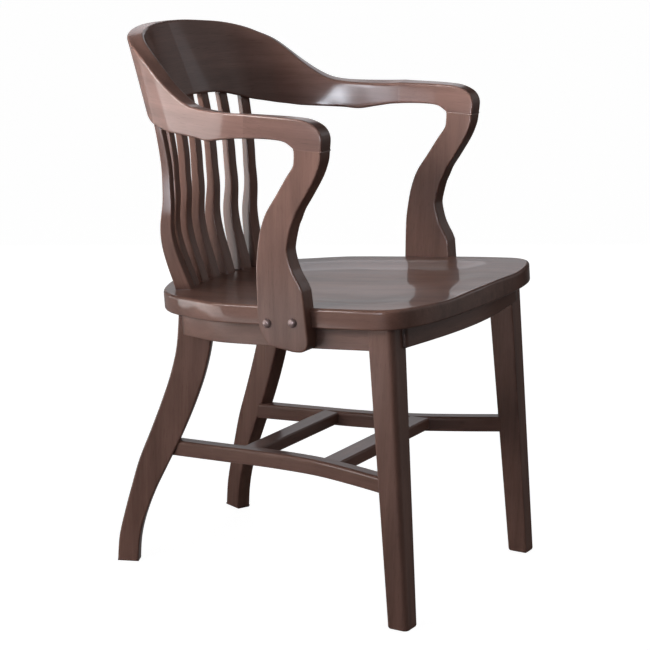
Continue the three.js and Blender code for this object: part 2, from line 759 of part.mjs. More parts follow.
// Extruded outline in the side view, set upright with its outer face on the leaning post plane.
function sidePiece(outline, thickness, bevel) {
  const basis = new THREE.Matrix4().makeBasis(vector(0, 1), up, vector(1, 0));
  const geometry = extrude(outline, thickness, bevel).applyMatrix4(basis);
  const place = geometry.attributes.position;
  for (let k = 0; k < place.count; k++) {
    place.setX(k, place.getX(k) - thickness + postOffset(place.getZ(k)));
  }
  return geometry;
}

const postLowerSteps = 9;
const postUpperSteps = 18;
const postBackSteps = 20;

function armPost(growth = 0) {
  const height = armJointHeight - gap - postBottom;
  const edge = (rows, steps) => smooth(rows.map(([z, y]) => [y * armElbow, postBottom + z * height]), steps);
  const lower = edge(postLowerFrontShares, postLowerSteps);
  const upper = edge(postUpperFrontShares, postUpperSteps);
  const back = edge(postBackShares, postBackSteps);
  const outline = [...lower, ...upper.slice(1), ...back].reverse();
  const shape = growth ? grown(outline, growth) : outline;
  return solid(sidePiece(shape, armThickness + growth, legCornerRadius));
}

// Middles of the arm's under and top edge at a station, flush with its joints at both ends.
function armEdges([underY, topY, underZ, topZ], forward) {
  const rise = armTopHeight - armJointHeight;
  const under = vector(0, underY * armElbow, armJointHeight + underZ * rise);
  const top = vector(0, topY * armElbow, armJointHeight + topZ * rise);
  if (forward === 0) {
    under.y = bowEnd - gap;
    top.y = bowEnd - gap;
  }
  if (forward === 1) {
    under.z = armJointHeight;
    top.z = armJointHeight;
  }
  return [under, top];
}

// Section of the arm: its outer face goes from the bow's line to the leaning plane of the post.
function armRing(row, forward) {
  const [under, top] = armEdges(row, forward);
  const height = under.distanceTo(top);
  const width = bowEndThickness + (armThickness - bowEndThickness) * forward;
  const blend = Math.min(forward * 2, 1);
  const turn = Math.sin((blend * Math.PI) / 2);
  return evenlyRounded(width, height, bowEdgeRadius * (1 - forward / 4)).map(([a, b]) => {
    const share = (b + height / 2) / height;
    const point = under.clone().lerp(top, share);
    point.x = bowHalfWidth + (postOffset(point.z) - bowHalfWidth) * turn - width / 2 + a;
    point.z -= bowTilt * bowShares.at(-1)[5] * (a / width) * share * (1 - forward) ** 2;
    return point;
  });
}

function arm() {
  const rows = resampled(armShares, armSteps);
  return solid(loft(rows.map((row, k) => armRing(row, k / armSteps))));
}

// Slats

const slatSweep = tableCurve(slatSweepShares);
const slatSpreadAt = tableCurve(slatSpreadShares);
const slatDepthShare = tableCurve(slatSectionShares, 1);
const slatWidthShare = tableCurve(slatSectionShares, 2);

// Point on the middle of the bow's lower face at a distance along it.
function bowCentreAt(distance) {
  const line = bowStations.map((s) => s.place.clone().addScaledVector(s.outward, -slatHeadInset));
  let left = Math.abs(distance);
  for (let k = 1; k < line.length; k++) {
    const step = line[k].distanceTo(line[k - 1]);
    if (left <= step) {
      const share = left / step;
      const height = bowStations[k - 1].lower + (bowStations[k].lower - bowStations[k - 1].lower) * share;
      const point = line[k - 1].clone().lerp(line[k], share);
      return vector(point.x * Math.sign(distance || 1), point.y, height);
    }
    left -= step;
  }
  return line[line.length - 1];
}

function slatEnds(number) {
  const [footShare, forwardShare, headShare] = slatPlaceShares[Math.abs(number)];
  const side = Math.sign(number);
  const foot = seatPoint(side * footShare * slatFootReach, slatFootBack - forwardShare * slatFootForward);
  return { foot, head: bowCentreAt(side * headShare * slatHeadReach) };
}

const slatSteps = 13;
const slatReach = (slatCount - 1) / 2;
const slatRadii = [slatCornerRadius, slatCornerRadius, slatCornerRadius, slatCornerRadius];

// Middle of a slat at a share of its rise, which goes on straight up past its ends.
function slatMiddle(number, share) {
  const { foot, head } = slatEnds(number);
  const held = THREE.MathUtils.clamp(share, 0, 1);
  return vector(
    foot.x + (head.x - foot.x) * held + (number / slatReach) * slatSpread * slatSpreadAt(held),
    foot.y + (head.y - foot.y) * slatSweep(held),
    foot.z + (head.z - foot.z) * share,
  );
}

// A slat's body, running on past the seat and the bow, or the thinner tenons on the same line.
function slatBody(number, sectionShare = 1, growth = 0) {
  const { foot, head } = slatEnds(number);
  const turn = (number / slatReach) * slatTurn;
  const across = vector(Math.cos(turn), -Math.sin(turn));
  const outward = vector(Math.sin(turn), Math.cos(turn));
  const past = (tenonLength + growth) / (head.z - foot.z);
  const shares = [-past, ...Array.from({ length: slatSteps + 1 }, (_, k) => k / slatSteps), 1 + past];
  const rings = shares.map((share) => {
    const held = THREE.MathUtils.clamp(share, 0, 1);
    const centre = slatMiddle(number, share);
    const width = slatFootWidth * slatWidthShare(held) * sectionShare + growth * 2;
    const depth = slatFootDepth * slatDepthShare(held) * sectionShare + growth * 2;
    const section = roundedRectangle(width, depth, slatRadii, 1);
    return section.map(([a, b]) => centre.clone().addScaledVector(across, a).addScaledVector(outward, b));
  });
  return solid(loft(rings));
}

// Screws of the posts and dowels of the arm joints

// A screw square to the post's outer face, or the plain hole for its shank.
function screw(place, height, growth = 0) {
  const radius = screwShankRadius + growth;
  const end = -screwLength - growth;
  const head = screwHeadShares.map(([r, z]) => [r * screwHeadRadius, z * screwHeadRise]);
  const shank = [[0, end], [radius, end]];
  const points = growth ? [...shank, [radius, overrun], [0, overrun]] : [...shank, [radius, 0], ...head];
  const axis = vector(1, 0, -postLeanShare).normalize();
  const seat = vector(postOffset(height), place, height).addScaledVector(axis, gap);
  const lathe = new THREE.LatheGeometry(points.map(([r, z]) => new THREE.Vector2(r, z)), roundSides);
  return solid(lathe.applyQuaternion(turnTo(axis)).translate(...seat.toArray()));
}

function dowel(middle, direction, growth = 0) {
  const reach = direction.clone().multiplyScalar(dowelLength / 2 + growth);
  return solid(rodBetween(middle.clone().sub(reach), middle.clone().add(reach), dowelRadius + growth));
}

const bowEndStation = bowStations[bowSteps];
const armDowelMiddle = vector(
  bowHalfWidth - bowEndThickness / 2,
  bowEnd,
  (bowEndStation.lower + bowEndStation.upper) / 2,
);
const postDowelMiddle = vector(
  postOffset(armJointHeight) - armThickness / 2,
  ((postUpperFrontShares.at(-1)[1] + postBackShares[0][1]) / 2) * armElbow,
  armJointHeight,
);
const forwards = vector(0, 1);
const armDowels = {
  arm_dowel_lower: (g) => dowel(armDowelMiddle.clone().addScaledVector(up, -dowelSpacing / 2), forwards, g),
  arm_dowel_upper: (g) => dowel(armDowelMiddle.clone().addScaledVector(up, dowelSpacing / 2), forwards, g),
};
const postDowels = {
  post_dowel_back: (g) => dowel(postDowelMiddle.clone().addScaledVector(forwards, dowelSpacing / 2), up, g),
  post_dowel_front: (g) => dowel(postDowelMiddle.clone().addScaledVector(forwards, -dowelSpacing / 2), up, g),
};
const screws = {
  post_screw_back: (g) => screw(backScrewPlace, seatHeight - backScrewDrop, g),
  post_screw_front: (g) => screw(frontScrewPlace, seatHeight - frontScrewDrop, g),
};
const holesFor = (set) => Object.values(set).map((make) => make(gap));
const armDowelHoles = holesFor(armDowels);
const postDowelHoles = holesFor(postDowels);
const screwHoles = holesFor(screws);

// Fitting the pieces to each other: each cut leaves the gap all round

const grownTo = {
  leg: frontLeg(gap),
  sabre: rearLeg(gap),
  post: armPost(gap),
  sideRail: sideRail(gap),
  frontRail: frontRail(gap),
  stretcher: sideStretcher(gap),
};
const uncut = { seat: seatBoard(), bow: backBow() };

// Everything below the seat: a block as wide and deep as the seat is, twice over.
function belowSeat() {
  const [x, y] = [seatHalfWidth * 2, seatFront * 2];
  return underSeat([[-x, -y], [x, -y], [x, y], [-x, y]], seatHeight * 2, 0);
}
const underside = belowSeat();

function cutBy(body, tools) {
  return tools.reduce((left, tool) => left.subtract(tool), body);
}

function joined(body, tools) {
  return tools.reduce((sum, tool) => sum.add(tool), body);
}

function bothSides(tools) {
  return tools.flatMap((tool) => [tool, mirrored(tool)]);
}

function slatWithTenons(number) {
  const neighbours = [uncut.seat.translate([0, 0, gap]), uncut.bow.translate([0, 0, -gap])];
  return largest(cutBy(slatBody(number), neighbours)).add(slatBody(number, slatTenonShare));
}

function legTenon(growth = 0) {
  const { x, y } = frontLegAt(seatHeight);
  const from = vector(x, y, seatHeight - frontLegTopSide);
  return solid(rodBetween(from, vector(x, y, seatHeight + growth), legTenonRadius + growth));
}

function sabreTenon(growth = 0) {
  const top = vector(rearLegFootX, rearLegFootY, rearLegRise)
    .addScaledVector(sweepDirection, -rearLegSweep * sabreTopShare)
    .addScaledVector(rearLegOutward, rearLegThickness / 2);
  const from = top.clone().addScaledVector(up, -tenonLength);
  top.addScaledVector(up, tenonLength + growth);
  return solid(rodBetween(from, top, stretcherTenonRadius + growth));
}

function fittedCross(place, width) {
  const body = largest(cutBy(crossStretcher(place, width), bothSides([grownTo.stretcher])));
  return joined(body, bothSides([crossTenon(place)]));
}

const slatNumbers = Array.from({ length: slatCount }, (_, k) => k - slatReach);
const slatMortises = slatNumbers.map((number) => slatBody(number, slatTenonShare, gap));
const frontBlockNeighbours = [grownTo.leg, grownTo.sideRail, grownTo.frontRail, frontRailTenon(gap)];
const fitted = {
  seat: cutBy(uncut.seat, [
    ...slatMortises,
    ...bothSides([grownTo.post, ...screwHoles, legTenon(gap), sabreTenon(gap)]),
  ]),
  bow: cutBy(uncut.bow, [...slatMortises, ...bothSides(armDowelHoles)]),
  arm: cutBy(arm(), [...armDowelHoles, ...postDowelHoles]),
  post: cutBy(armPost(), [...postDowelHoles, ...screwHoles]),
  frontLeg: cutBy(joined(frontLeg().intersect(underside), [legTenon()]), [
    sideRailTenon(gap),
    frontRailTenon(gap),
    frontStretcherTenon(gap),
  ]),
  rearLeg: cutBy(joined(rearLeg().intersect(underside), [sabreTenon()]), [
    rearRailTenon(gap),
    rearStretcherTenon(gap),
  ]),
  sideRail: joined(largest(cutBy(sideRail(), [grownTo.leg, grownTo.post, grownTo.sabre])), [
    sideRailTenon(),
  ]),
  frontRail: joined(largest(cutBy(frontRail(), bothSides([grownTo.leg]))), bothSides([frontRailTenon()])),
  rearRail: joined(largest(cutBy(rearRail(), bothSides([grownTo.sabre]))), bothSides([rearRailTenon()])),
  sideStretcher: cutBy(
    joined(largest(cutBy(sideStretcher(), [grownTo.leg, grownTo.sabre])), [
      frontStretcherTenon(),
      rearStretcherTenon(),
    ]),
    [crossTenon(rearCrossPlace, gap), crossTenon(frontCrossPlace, gap)],
  ),
  frontBlock: largest(cutBy(frontBlock(), frontBlockNeighbours)),
  rearBlock: largest(cutBy(rearBlock(), [grownTo.sabre, grownTo.sideRail])),
};

// Assembly

const chair = new THREE.Group();
chair.name = "captains_chair";

function addPiece(name, body, material) {
  const mesh = new THREE.Mesh(geometryOf(body), material.clone());
  mesh.name = name;
  chair.add(mesh);
}

// The piece on the sitter's left (+X) and its mirror image on the right.
function addPair(name, body, material) {
  addPiece(name + "_left", body, material);
  addPiece(name + "_right", mirrored(body), material);
}

addPiece("seat", fitted.seat, seatWood);
addPair("side_rail", fitted.sideRail, frameWood);
addPiece("front_rail", fitted.frontRail, frameWood);
addPiece("rear_rail", fitted.rearRail, frameWood);
addPair("front_block", fitted.frontBlock, hiddenWood);
addPair("rear_block", fitted.rearBlock, hiddenWood);
addPair("front_leg", fitted.frontLeg, frameWood);
addPair("rear_leg", fitted.rearLeg, frameWood);
addPair("side_stretcher", fitted.sideStretcher, frameWood);
addPiece("rear_cross_stretcher", fittedCross(rearCrossPlace, rearCrossWidth), frameWood);
addPiece("front_cross_stretcher", fittedCross(frontCrossPlace, frontCrossWidth), frameWood);
addPiece("back_bow", fitted.bow, bowWood);
addPair("arm", fitted.arm, bowWood);
addPair("arm_post", fitted.post, frameWood);
slatNumbers.forEach((number, k) => addPiece("slat_" + (k + 1), slatWithTenons(number), frameWood));
Object.entries({ ...armDowels, ...postDowels }).forEach(([name, make]) => addPair(name, make(0), hiddenWood));
Object.entries(screws).forEach(([name, make]) => addPair(name, make(0), steel));

const box = new THREE.Box3().setFromObject(chair);
const middle = box.getCenter(vector(0, 0));
chair.children.forEach((piece) => {
  piece.geometry.translate(-middle.x, -middle.y, -box.min.z);
});

export default chair;
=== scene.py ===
"""A wooden captains chair in dark lacquered walnut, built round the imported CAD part.

Lengths of the chair are in millimetres in its own frame: the sitter faces -Y, left is +X, x = 0 is
the plane of symmetry and the floor is z = 0. add_mesh turns them into metres in the row frame.
Lengths of the stage are in metres.
"""

import math

import bpy
import numpy as np
from mathutils import Matrix, Vector


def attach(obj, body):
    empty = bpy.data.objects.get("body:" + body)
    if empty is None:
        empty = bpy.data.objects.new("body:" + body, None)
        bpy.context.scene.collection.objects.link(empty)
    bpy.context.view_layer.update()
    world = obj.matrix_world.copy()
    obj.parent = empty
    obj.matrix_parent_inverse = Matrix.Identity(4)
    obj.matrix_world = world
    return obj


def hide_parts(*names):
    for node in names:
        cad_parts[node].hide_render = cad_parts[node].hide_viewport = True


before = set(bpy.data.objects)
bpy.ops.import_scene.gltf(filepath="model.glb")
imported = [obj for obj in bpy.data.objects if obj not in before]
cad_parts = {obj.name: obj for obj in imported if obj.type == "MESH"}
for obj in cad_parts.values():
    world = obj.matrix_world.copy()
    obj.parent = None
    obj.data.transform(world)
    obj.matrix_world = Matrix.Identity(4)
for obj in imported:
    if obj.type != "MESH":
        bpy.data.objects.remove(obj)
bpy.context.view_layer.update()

MM = 0.001
FRAME_SHIFT = np.array([0.0, 27.95, 0.0])  # from the chair's frame to the row frame
Y = np.array([0.0, 1.0, 0.0])
Z = np.array([0.0, 0.0, 1.0])

# Seat
SEAT_HALF_WIDTH = 226.5
SEAT_FRONT = 318
SEAT_BACK = 208
SEAT_HEIGHT = 435.3
SEAT_PITCH = math.radians(5.43)
SEAT_THICKNESS = 28.5
SEAT_DISH = 7
SEAT_EDGE_RADIUS = 5
SEAT_UNDER_RADIUS = 2.5
SEAT_OUTLINE = [  # half: share of half width, share of depth from the front edge
    [0, 0], [0.3, 0.004], [0.57, 0.014], [0.78, 0.035], [0.92, 0.066], [0.983, 0.107], [1, 0.165],
    [1, 0.27], [0.985, 0.36], [0.952, 0.49], [0.93, 0.6], [0.907, 0.66], [0.862, 0.71],
    [0.812, 0.755], [0.742, 0.82], [0.67, 0.866], [0.573, 0.907], [0.46, 0.94], [0.3, 0.972],
    [0.15, 0.993], [0, 1],
]
SEAT_DISHING = [  # share of the outline, share of the dish depth
    [0, 0.93], [0.17, 0.96], [0.34, 1], [0.5, 0.94], [0.62, 0.75], [0.72, 0.42], [0.8, 0.12],
    [0.87, 0], [1, 0],
]
SCOOP_PLACE = 112  # thigh scoops that run out over the front edge
SCOOP_WIDTH = 52
SCOOP_DEPTH = 2.4
SCOOP_RUN = (-305, -120)  # full in front of the first place, gone behind the second
POMMEL_WIDTH = 40  # the ridge between the scoops
POMMEL_RISE = 3.4
POMMEL_RUN = (-250, -60)
SEAT_POINTS = 280  # points round the outline
SEAT_UNDER_STEPS = 4
SEAT_EDGE_STEPS = 7
SEAT_TOP_RINGS = 70
SEAT_TOP_SPAN = (0.985, 0.012)  # shares of the rim, from the outermost ring of the top to the innermost
SEAT_SIDE_FOLLOW = 0.2  # how far the middle of the seat's edge follows the scoops
SEAT_EDGE_WEAR_AND_HIGHLIGHT = 0.7

# Rails
APRON_HEIGHT = 31.4
APRON_THICKNESS = 20
APRON_INSET = 8.5
APRON_RADIUS = 1.6
SIDE_RAIL_FRONT = -236
SIDE_RAIL_BACK = 111
FRONT_RAIL_BOW = 22
REAR_RAIL_PLACE = 96
REAR_RAIL_HALF = 116
RAIL_SINK = 1  # how far the front rail lies behind the front face of the legs
OUTLINE_POINTS = 400  # of the seat outline that the side rails are taken from
OUTLINE_SIDE = 40  # points beyond this x belong to the side
SIDE_RAIL_POINTS = 60
FRONT_RAIL_POINTS = 49
REAR_RAIL_POINTS = 13

# Legs
LEG_TOP = (194.9, -254.6)
LEG_TOP_Z = 390
LEG_TOP_SIDE = 39.1
LEG_FOOT = (203.1, -293.1)
LEG_FOOT_SIDE = 31.1
LEG_OUTER_RADIUS = 11
CORNER_RADIUS = 2.5
FOOT_RADIUS = 3.5
FOOT_RINGS = (0, 0.5, 1.2, FOOT_RADIUS)  # heights
FOOT_WEAR = 0.7
LEG_RINGS = (8, 380, 24)  # lowest, highest and number
LEG_TOP_RINGS = (400, 415)
LEG_ARC_STEPS = 8
OUTER_CORNER_WEAR_AND_HIGHLIGHT = 0.25
SABRE_FOOT = (141.8, 190.9)
SABRE_TURN = math.radians(22.9)
SABRE_THICKNESS = 25
SABRE_RISE = 397
SABRE_SWEEP = 113
SABRE_STEPS = 60
SABRE_BACK = [
    [0, 0.283], [0.1, 0.261], [0.2, 0.186], [0.3, 0.097], [0.41, -0.009], [0.53, -0.168],
    [0.65, -0.319], [0.756, -0.434], [0.87, -0.513], [1.03, -0.54],
]
SABRE_FRONT = [
    [0, 0], [0.088, -0.018], [0.176, -0.084], [0.277, -0.208], [0.38, -0.372], [0.506, -0.575],
    [0.63, -0.748], [0.756, -0.889], [0.882, -0.973], [1.03, -1.003],
]

# Stretchers
STRETCHER_WIDTH = 24
STRETCHER_HEIGHT = 23.5
STRETCHER_TOP = 200.6
STRETCHER_RISE = 0.056
STRETCHER_PLAN = [[0, 1], [0.18, 0.865], [0.36, 0.755], [0.57, 0.7], [0.78, 0.684], [1, 0.667]]
STRETCHER_FRONT = (207, -262)
STRETCHER_REAR_Y = 138
STRETCHER_STEPS = 70
STRETCHER_TOP_ROUNDING = 1.5  # radius of the top edges over that of the lower ones
SLOPE_REACH = 4  # to either side of the place where a slope is taken
CROSS_HEIGHT = 19
CROSS_DROP = 1
CROSS_RADIUS = 3
CROSS_SINK = 2  # how far short of the side stretcher's middle a cross stretcher ends
CROSS_POINTS = 21
CROSSES = [("rear_cross_stretcher", 7, 28), ("front_cross_stretcher", -139.5, 32)]

# Bow, arms and posts
BOW_HALF_WIDTH = 246.8
BOW_BACK = 214
BOW_END = -47
BOW_SQUARING = 30  # over this length the bow's section turns square to its end
BOW_THICKNESS = 25.4
BOW_END_THICKNESS = 27.8
BOW_LOWER = 699
BOW_UPPER = 806.5
BOW_HIP = 671.5
BOW_WAIST = 709
BOW_LEAN = 50
BOW_TILT = 4
BOW_RADIUS = 3.6
BOW_STEPS = 110
BOW_ARC_STEPS = 6
BOW_SIDE_STEPS = 6
BOW_ROWS = [  # x share, y share, drop share, rise share, lean share, tilt share
    [0, 1, 0, 1, 1, 1],
    [0.15, 0.995, 0.03, 0.995, 0.92, 0.75],
    [0.296, 0.977, 0.11, 0.969, 0.82, 0.5],
    [0.4295, 0.944, 0.33, 0.93, 0.7, 0.5],
    [0.543, 0.889, 0.58, 0.862, 0.59, 0.25],
    [0.62, 0.831, 0.72, 0.776, 0.495, 0],
    [0.689, 0.766, 0.84, 0.668, 0.395, -0.25],
    [0.7415, 0.692, 0.92, 0.51, 0.3, -0.25],
    [0.788, 0.617, 1, 0.337, 0.19, -0.4],
    [0.8306, 0.531, 1.018, 0.179, 0.09, -0.5],
    [0.867, 0.444, 1.018, 0.071, 0.04, -0.5],
    [0.902, 0.36, 1.03, 0.035, 0, -0.5],
    [0.936, 0.268, 1.07, 0.028, -0.02, -0.7],
    [0.968, 0.165, 0.89, 0.03, -0.01, -1],
    [0.9887, 0.073, 0.73, 0.042, 0, -1],
    [1, 0, 0.66, 0.06, 0, -0.8],
]
ARM_THICKNESS = 27.9
ARM_ELBOW = 176
ARM_TOP = 716.2
ARM_JOINT = 674
ARM_STEPS = 60
ARM_SPREADING = 2  # the arm has reached the posts' span after one half of its length
ARM_ROWS = [  # y shares of the under and top edge, height shares of the under and top edge
    [-0.267, -0.267, 0.166, 0.968],
    [-0.353, -0.353, 0.2, 0.975],
    [-0.455, -0.466, 0.227, 0.988],
    [-0.546, -0.581, 0.237, 1],
    [-0.613, -0.698, 0.227, 1],
    [-0.659, -0.804, 0.185, 0.979],
    [-0.69, -0.893, 0.118, 0.877],
    [-0.71, -0.955, 0.066, 0.711],
    [-0.723, -0.988, 0.03, 0.427],
    [-0.733, -0.983, 0, 0],
]
POST_SPAN = 242.9
POST_REFERENCE = 500
POST_LEAN = 0.0406
POST_BOTTOM = 386
POST_TOP_EDGE = 0.5  # the part of the rounded top edge that shows under the arm
POST_STEPS = (30, 66, 76)  # of the lower front, the upper front and the back
TOUCH = 0.01  # points of the post this near to the joint move with it
POST_BACK = [  # share of the height, share of the elbow reach
    [1, -0.733], [0.95, -0.733], [0.914, -0.722], [0.862, -0.666], [0.817, -0.621], [0.755, -0.559],
    [0.666, -0.47], [0.569, -0.419], [0.452, -0.392], [0.369, -0.386], [0.228, -0.392],
    [0.155, -0.397], [0.1, -0.414], [0.05, -0.448], [0.015, -0.502],
]
POST_FRONT_LOWER = [
    [0, -0.72], [0.004, -0.795], [0.022, -0.842], [0.055, -0.862], [0.12, -0.85], [0.228, -0.83],
    [0.307, -0.8125],
]
POST_FRONT_UPPER = [
    [0.307, -0.8125], [0.341, -0.784], [0.372, -0.75], [0.417, -0.71], [0.486, -0.676],
    [0.528, -0.676], [0.61, -0.705], [0.652, -0.733], [0.703, -0.767], [0.766, -0.83],
    [0.869, -0.926], [0.945, -0.972], [1, -0.983],
]
JOINT_GAP = 0.3

# Slats
SLAT_COUNT = 7
SLAT_HEAD_REACH = 127
SLAT_FOOT_REACH = 103
SLAT_FOOT_BACK = 159
SLAT_FOOT_FORWARD = 21
SLAT_HEAD_INSET = 13
SLAT_SPREAD = 8.7
SLAT_FOOT = (21.5, 26)
SLAT_TURN = math.radians(15)
SLAT_RADIUS = 2.2
SLAT_SINK = 8  # how far the slats run into the seat and the bow
SLAT_RINGS = 61
SLAT_ARC_STEPS = 4
SLAT_SIDE_STEPS = 2
HEAD_LINE_STEPS = 26  # of the line along the bow that the slat heads follow
SLAT_SWEEP = [
    [0, 0], [0.07, 0.13], [0.15, 0.3], [0.25, 0.483], [0.35, 0.57], [0.49, 0.53], [0.6, 0.58],
    [0.72, 0.65], [0.87, 0.813], [1, 1],
]
SLAT_SPREADING = [
    [0, 0], [0.12, 0.65], [0.25, 1], [0.4, 0.93], [0.52, 0.55], [0.64, 0.15], [0.78, 0], [1, 0],
]
SLAT_SECTION = [  # share of the rise, share of the foot depth, share of the foot width
    [0, 1, 1], [0.1, 0.91, 0.98], [0.25, 0.79, 0.9], [0.4, 0.67, 0.82], [0.55, 0.54, 0.8],
    [0.7, 0.5, 0.8], [0.85, 0.46, 0.81], [1, 0.42, 0.82],
]
SLAT_PLACES = [  # from the middle outwards: shares of the foot reach, foot forward and head reach
    [0, 0, 0], [0.369, 0.167, 0.302], [0.728, 0.524, 0.653], [1, 1, 1],
]

# Screws
SCREWS = [("back", -86, 423), ("front", -127, 428.5)]  # name, y, z
SCREW_AXIS = 0.05  # radius of the innermost ring
SCREW_SIDES = 40
SCREW_PROFILE = [  # radius, place along the axis from the post's face
    (SCREW_AXIS, -62), (3.4, -60), (3.4, -30), (3.4, 0), (6.6, 0), (6.6, 0.9), (6.3, 1.3), (5.9, 1.4),
    (5.4, 2.5), (4.2, 3.5), (2.3, 4.1), (SCREW_AXIS, 4.2),
]

# Numbers of the meshes
TABLE_STEPS = 12  # points for each row of a table
CURVE_STEPS = 24  # points between two given ones of a closed curve
NORMAL_WEIGHT = 60
TIMBER_STEP = np.array([0.731, 0.417, 0.293])  # metres in the timber from one seed to the next
TIMBER_SPAN = np.array([5, 3, 2])
MIRROR_SEED = 7  # from a piece to its mirror image


# Curves

def spline(rows, steps):
    """Rows of numbers, smoothly resampled to a number of steps."""
    rows = np.asarray(rows, float)
    last = len(rows) - 1
    spot = np.linspace(0, last, steps + 1)
    low = np.minimum(spot.astype(int), last - 1)
    t = (spot - low)[:, None]
    a, b = rows[np.maximum(low - 1, 0)], rows[low]
    c, d = rows[low + 1], rows[np.minimum(low + 2, last)]
    into, out = (c - a) / 2, (d - b) / 2
    return (2 * b - 2 * c + into + out) * t**3 + (3 * c - 3 * b - 2 * into - out) * t**2 + into * t + b


def table(rows, column=1):
    """Value of a table at a place, from 0 to 1, by a smooth curve through its rows."""
    points = spline([[row[0], row[column]] for row in rows], len(rows) * TABLE_STEPS)
    return lambda place: np.interp(place, points[:, 0], points[:, 1])


def run_of(points):
    """Length from the first point to each of them."""
    return np.concatenate([[0], np.cumsum(np.linalg.norm(np.diff(points, axis=0), axis=1))])


def between(t, start, end, a, b):
    """The value at t of what is a at the start and b at the end."""
    return ((end - t) * a + (t - start) * b) / (end - start)


def closed_curve(points, count):
    """Evenly spaced points on the closed centripetal curve through the points."""
    points = np.asarray(points, float)
    total = len(points)
    fine = []
    for k in range(total):
        p = [points[(k + i) % total] for i in (-1, 0, 1, 2)]
        steps = [np.linalg.norm(p[i + 1] - p[i]) ** 0.5 for i in range(3)]
        knots = np.concatenate([[0], np.cumsum(steps)])
        for t in np.linspace(knots[1], knots[2], CURVE_STEPS, endpoint=False):
            a = [between(t, knots[i], knots[i + 1], p[i], p[i + 1]) for i in range(3)]
            b = [between(t, knots[i], knots[i + 2], a[i], a[i + 1]) for i in range(2)]
            fine.append(between(t, knots[1], knots[2], b[0], b[1]))
    fine = np.array(fine + [fine[0]])
    length = run_of(fine)
    even = np.linspace(0, length[-1], count, endpoint=False)
    return np.stack([np.interp(even, length, fine[:, i]) for i in (0, 1)], 1)


def quarter(steps):
    """Angles from 0 to a right angle."""
    return [step / steps * math.pi / 2 for step in range(steps + 1)]


def section(width, height, radii, arc_steps=5, side_steps=3):
    """Rounded rectangle, counter-clockwise: points (N, 2) and how far each is an edge (N).

    The radii start at +x +y.
    """
    points, edge = [], []
    corners = [(1, 1), (-1, 1), (-1, -1), (1, -1)]
    for k, (sx, sy) in enumerate(corners):
        radius = radii[k]
        centre = np.array([sx * (width / 2 - radius), sy * (height / 2 - radius)])
        for step in range(arc_steps + 1):
            angle = (k + step / arc_steps) * math.pi / 2
            points.append(centre + radius * np.array([math.cos(angle), math.sin(angle)]))
            edge.append(math.sin(math.pi * step / arc_steps))
        after = (k + 1) % 4
        nx, ny = corners[after]
        start = points[-1]
        turn = (k + 1) * math.pi / 2
        stop = np.array([nx * (width / 2 - radii[after]), ny * (height / 2 - radii[after])])
        stop = stop + radii[after] * np.array([math.cos(turn), math.sin(turn)])
        for step in range(1, side_steps + 1):
            points.append(start + (stop - start) * step / (side_steps + 1))
            edge.append(0)
    return np.array(points), np.array(edge)


def inset(outline, distance):
    """A closed outline moved inwards along its normals."""
    before, after = np.roll(outline, 1, axis=0), np.roll(outline, -1, axis=0)
    run = after - before
    area = np.sum(outline[:, 0] * after[:, 1] - after[:, 0] * outline[:, 1])
    normal = np.stack([-run[:, 1], run[:, 0]], 1) * np.sign(area)
    return outline + normal / np.linalg.norm(normal, axis=1)[:, None] * distance


# Meshes

def with_grain_along(rings, across, through):
    """Grain coordinates of a piece whose timber runs along its rings."""
    along = run_of(rings.mean(axis=1))[:, None]
    return np.stack(np.broadcast_arrays(along, across, through), -1)


def ring_faces(count, around):
    """Quads between neighbouring rings, and the two ends."""
    faces = []
    for k in range(count - 1):
        for i in range(around):
            a, b = k * around + i, k * around + (i + 1) % around
            faces.append((a, b, b + around, a + around))
    return faces + [tuple(range(around))[::-1], tuple(range((count - 1) * around, count * around))]


def turn_outwards(mesh, corners):
    volume = sum(
        Vector(corners[a]).cross(Vector(corners[b])).dot(Vector(corners[c]))
        for a, b, c in triangles(mesh)
    )
    if volume < 0:
        mesh.flip_normals()


def shade(mesh):
    """Smooth all over but for the two flat ends."""
    mesh.shade_smooth()
    ends = (len(mesh.polygons) - 2, len(mesh.polygons) - 1)
    for number in ends:
        mesh.polygons[number].use_smooth = False
    rims = {key for number in ends for key in mesh.polygons[number].edge_keys}
    for line in mesh.edges:
        line.use_edge_sharp = line.key in rims


def add_mesh(name, rings, grain, edge, nodes, slot, seed):
    """A closed piece through rings of points (R, N, 3), with grain coordinates and an edge share at each
    vertex, which lightens the edges as scuffing and as a painted highlight.
    """
    rings = np.asarray(rings, float)
    shape = rings.shape[:2]
    corners = (rings.reshape(-1, 3) + FRAME_SHIFT) * MM
    mesh = bpy.data.meshes.new(name)
    mesh.from_pydata(corners.tolist(), [], ring_faces(*shape))
    mesh.update()
    turn_outwards(mesh, corners)
    timber = np.asarray(grain, float).reshape(-1, 3) * MM + grain_offset(seed)
    mesh.attributes.new("grain", "FLOAT_VECTOR", "POINT").data.foreach_set("vector", timber.ravel())
    wear_and_highlight = np.broadcast_to(edge, shape).ravel()
    mesh.attributes.new("edge", "FLOAT", "POINT").data.foreach_set("value", wear_and_highlight)
    shade(mesh)
    piece = bpy.data.objects.new(name, mesh)
    bpy.context.scene.collection.objects.link(piece)
    mesh.materials.append(MATERIALS[slot])
    weighted = piece.modifiers.new("normals", "WEIGHTED_NORMAL")
    weighted.weight = NORMAL_WEIGHT
    weighted.keep_sharp = True
    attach(piece, "root")
    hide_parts(*nodes)


def triangles(mesh):
    mesh.calc_loop_triangles()
    return [tuple(t.vertices) for t in mesh.loop_triangles]


def grain_offset(seed):
    """Where in the timber a piece is cut from."""
    return seed * TIMBER_STEP % TIMBER_SPAN


def pair(name, rings, grain, edge, slot, seed):
    """The piece on +X and its mirror image on -X."""
    for side, suffix, more in ((1, "_left", 0), (-1, "_right", MIRROR_SEED)):
        turned = np.asarray(rings, float) * np.array([side, 1, 1])
        add_mesh(name + suffix + "_visual", turned, grain, edge, [name + suffix], slot, seed + more)


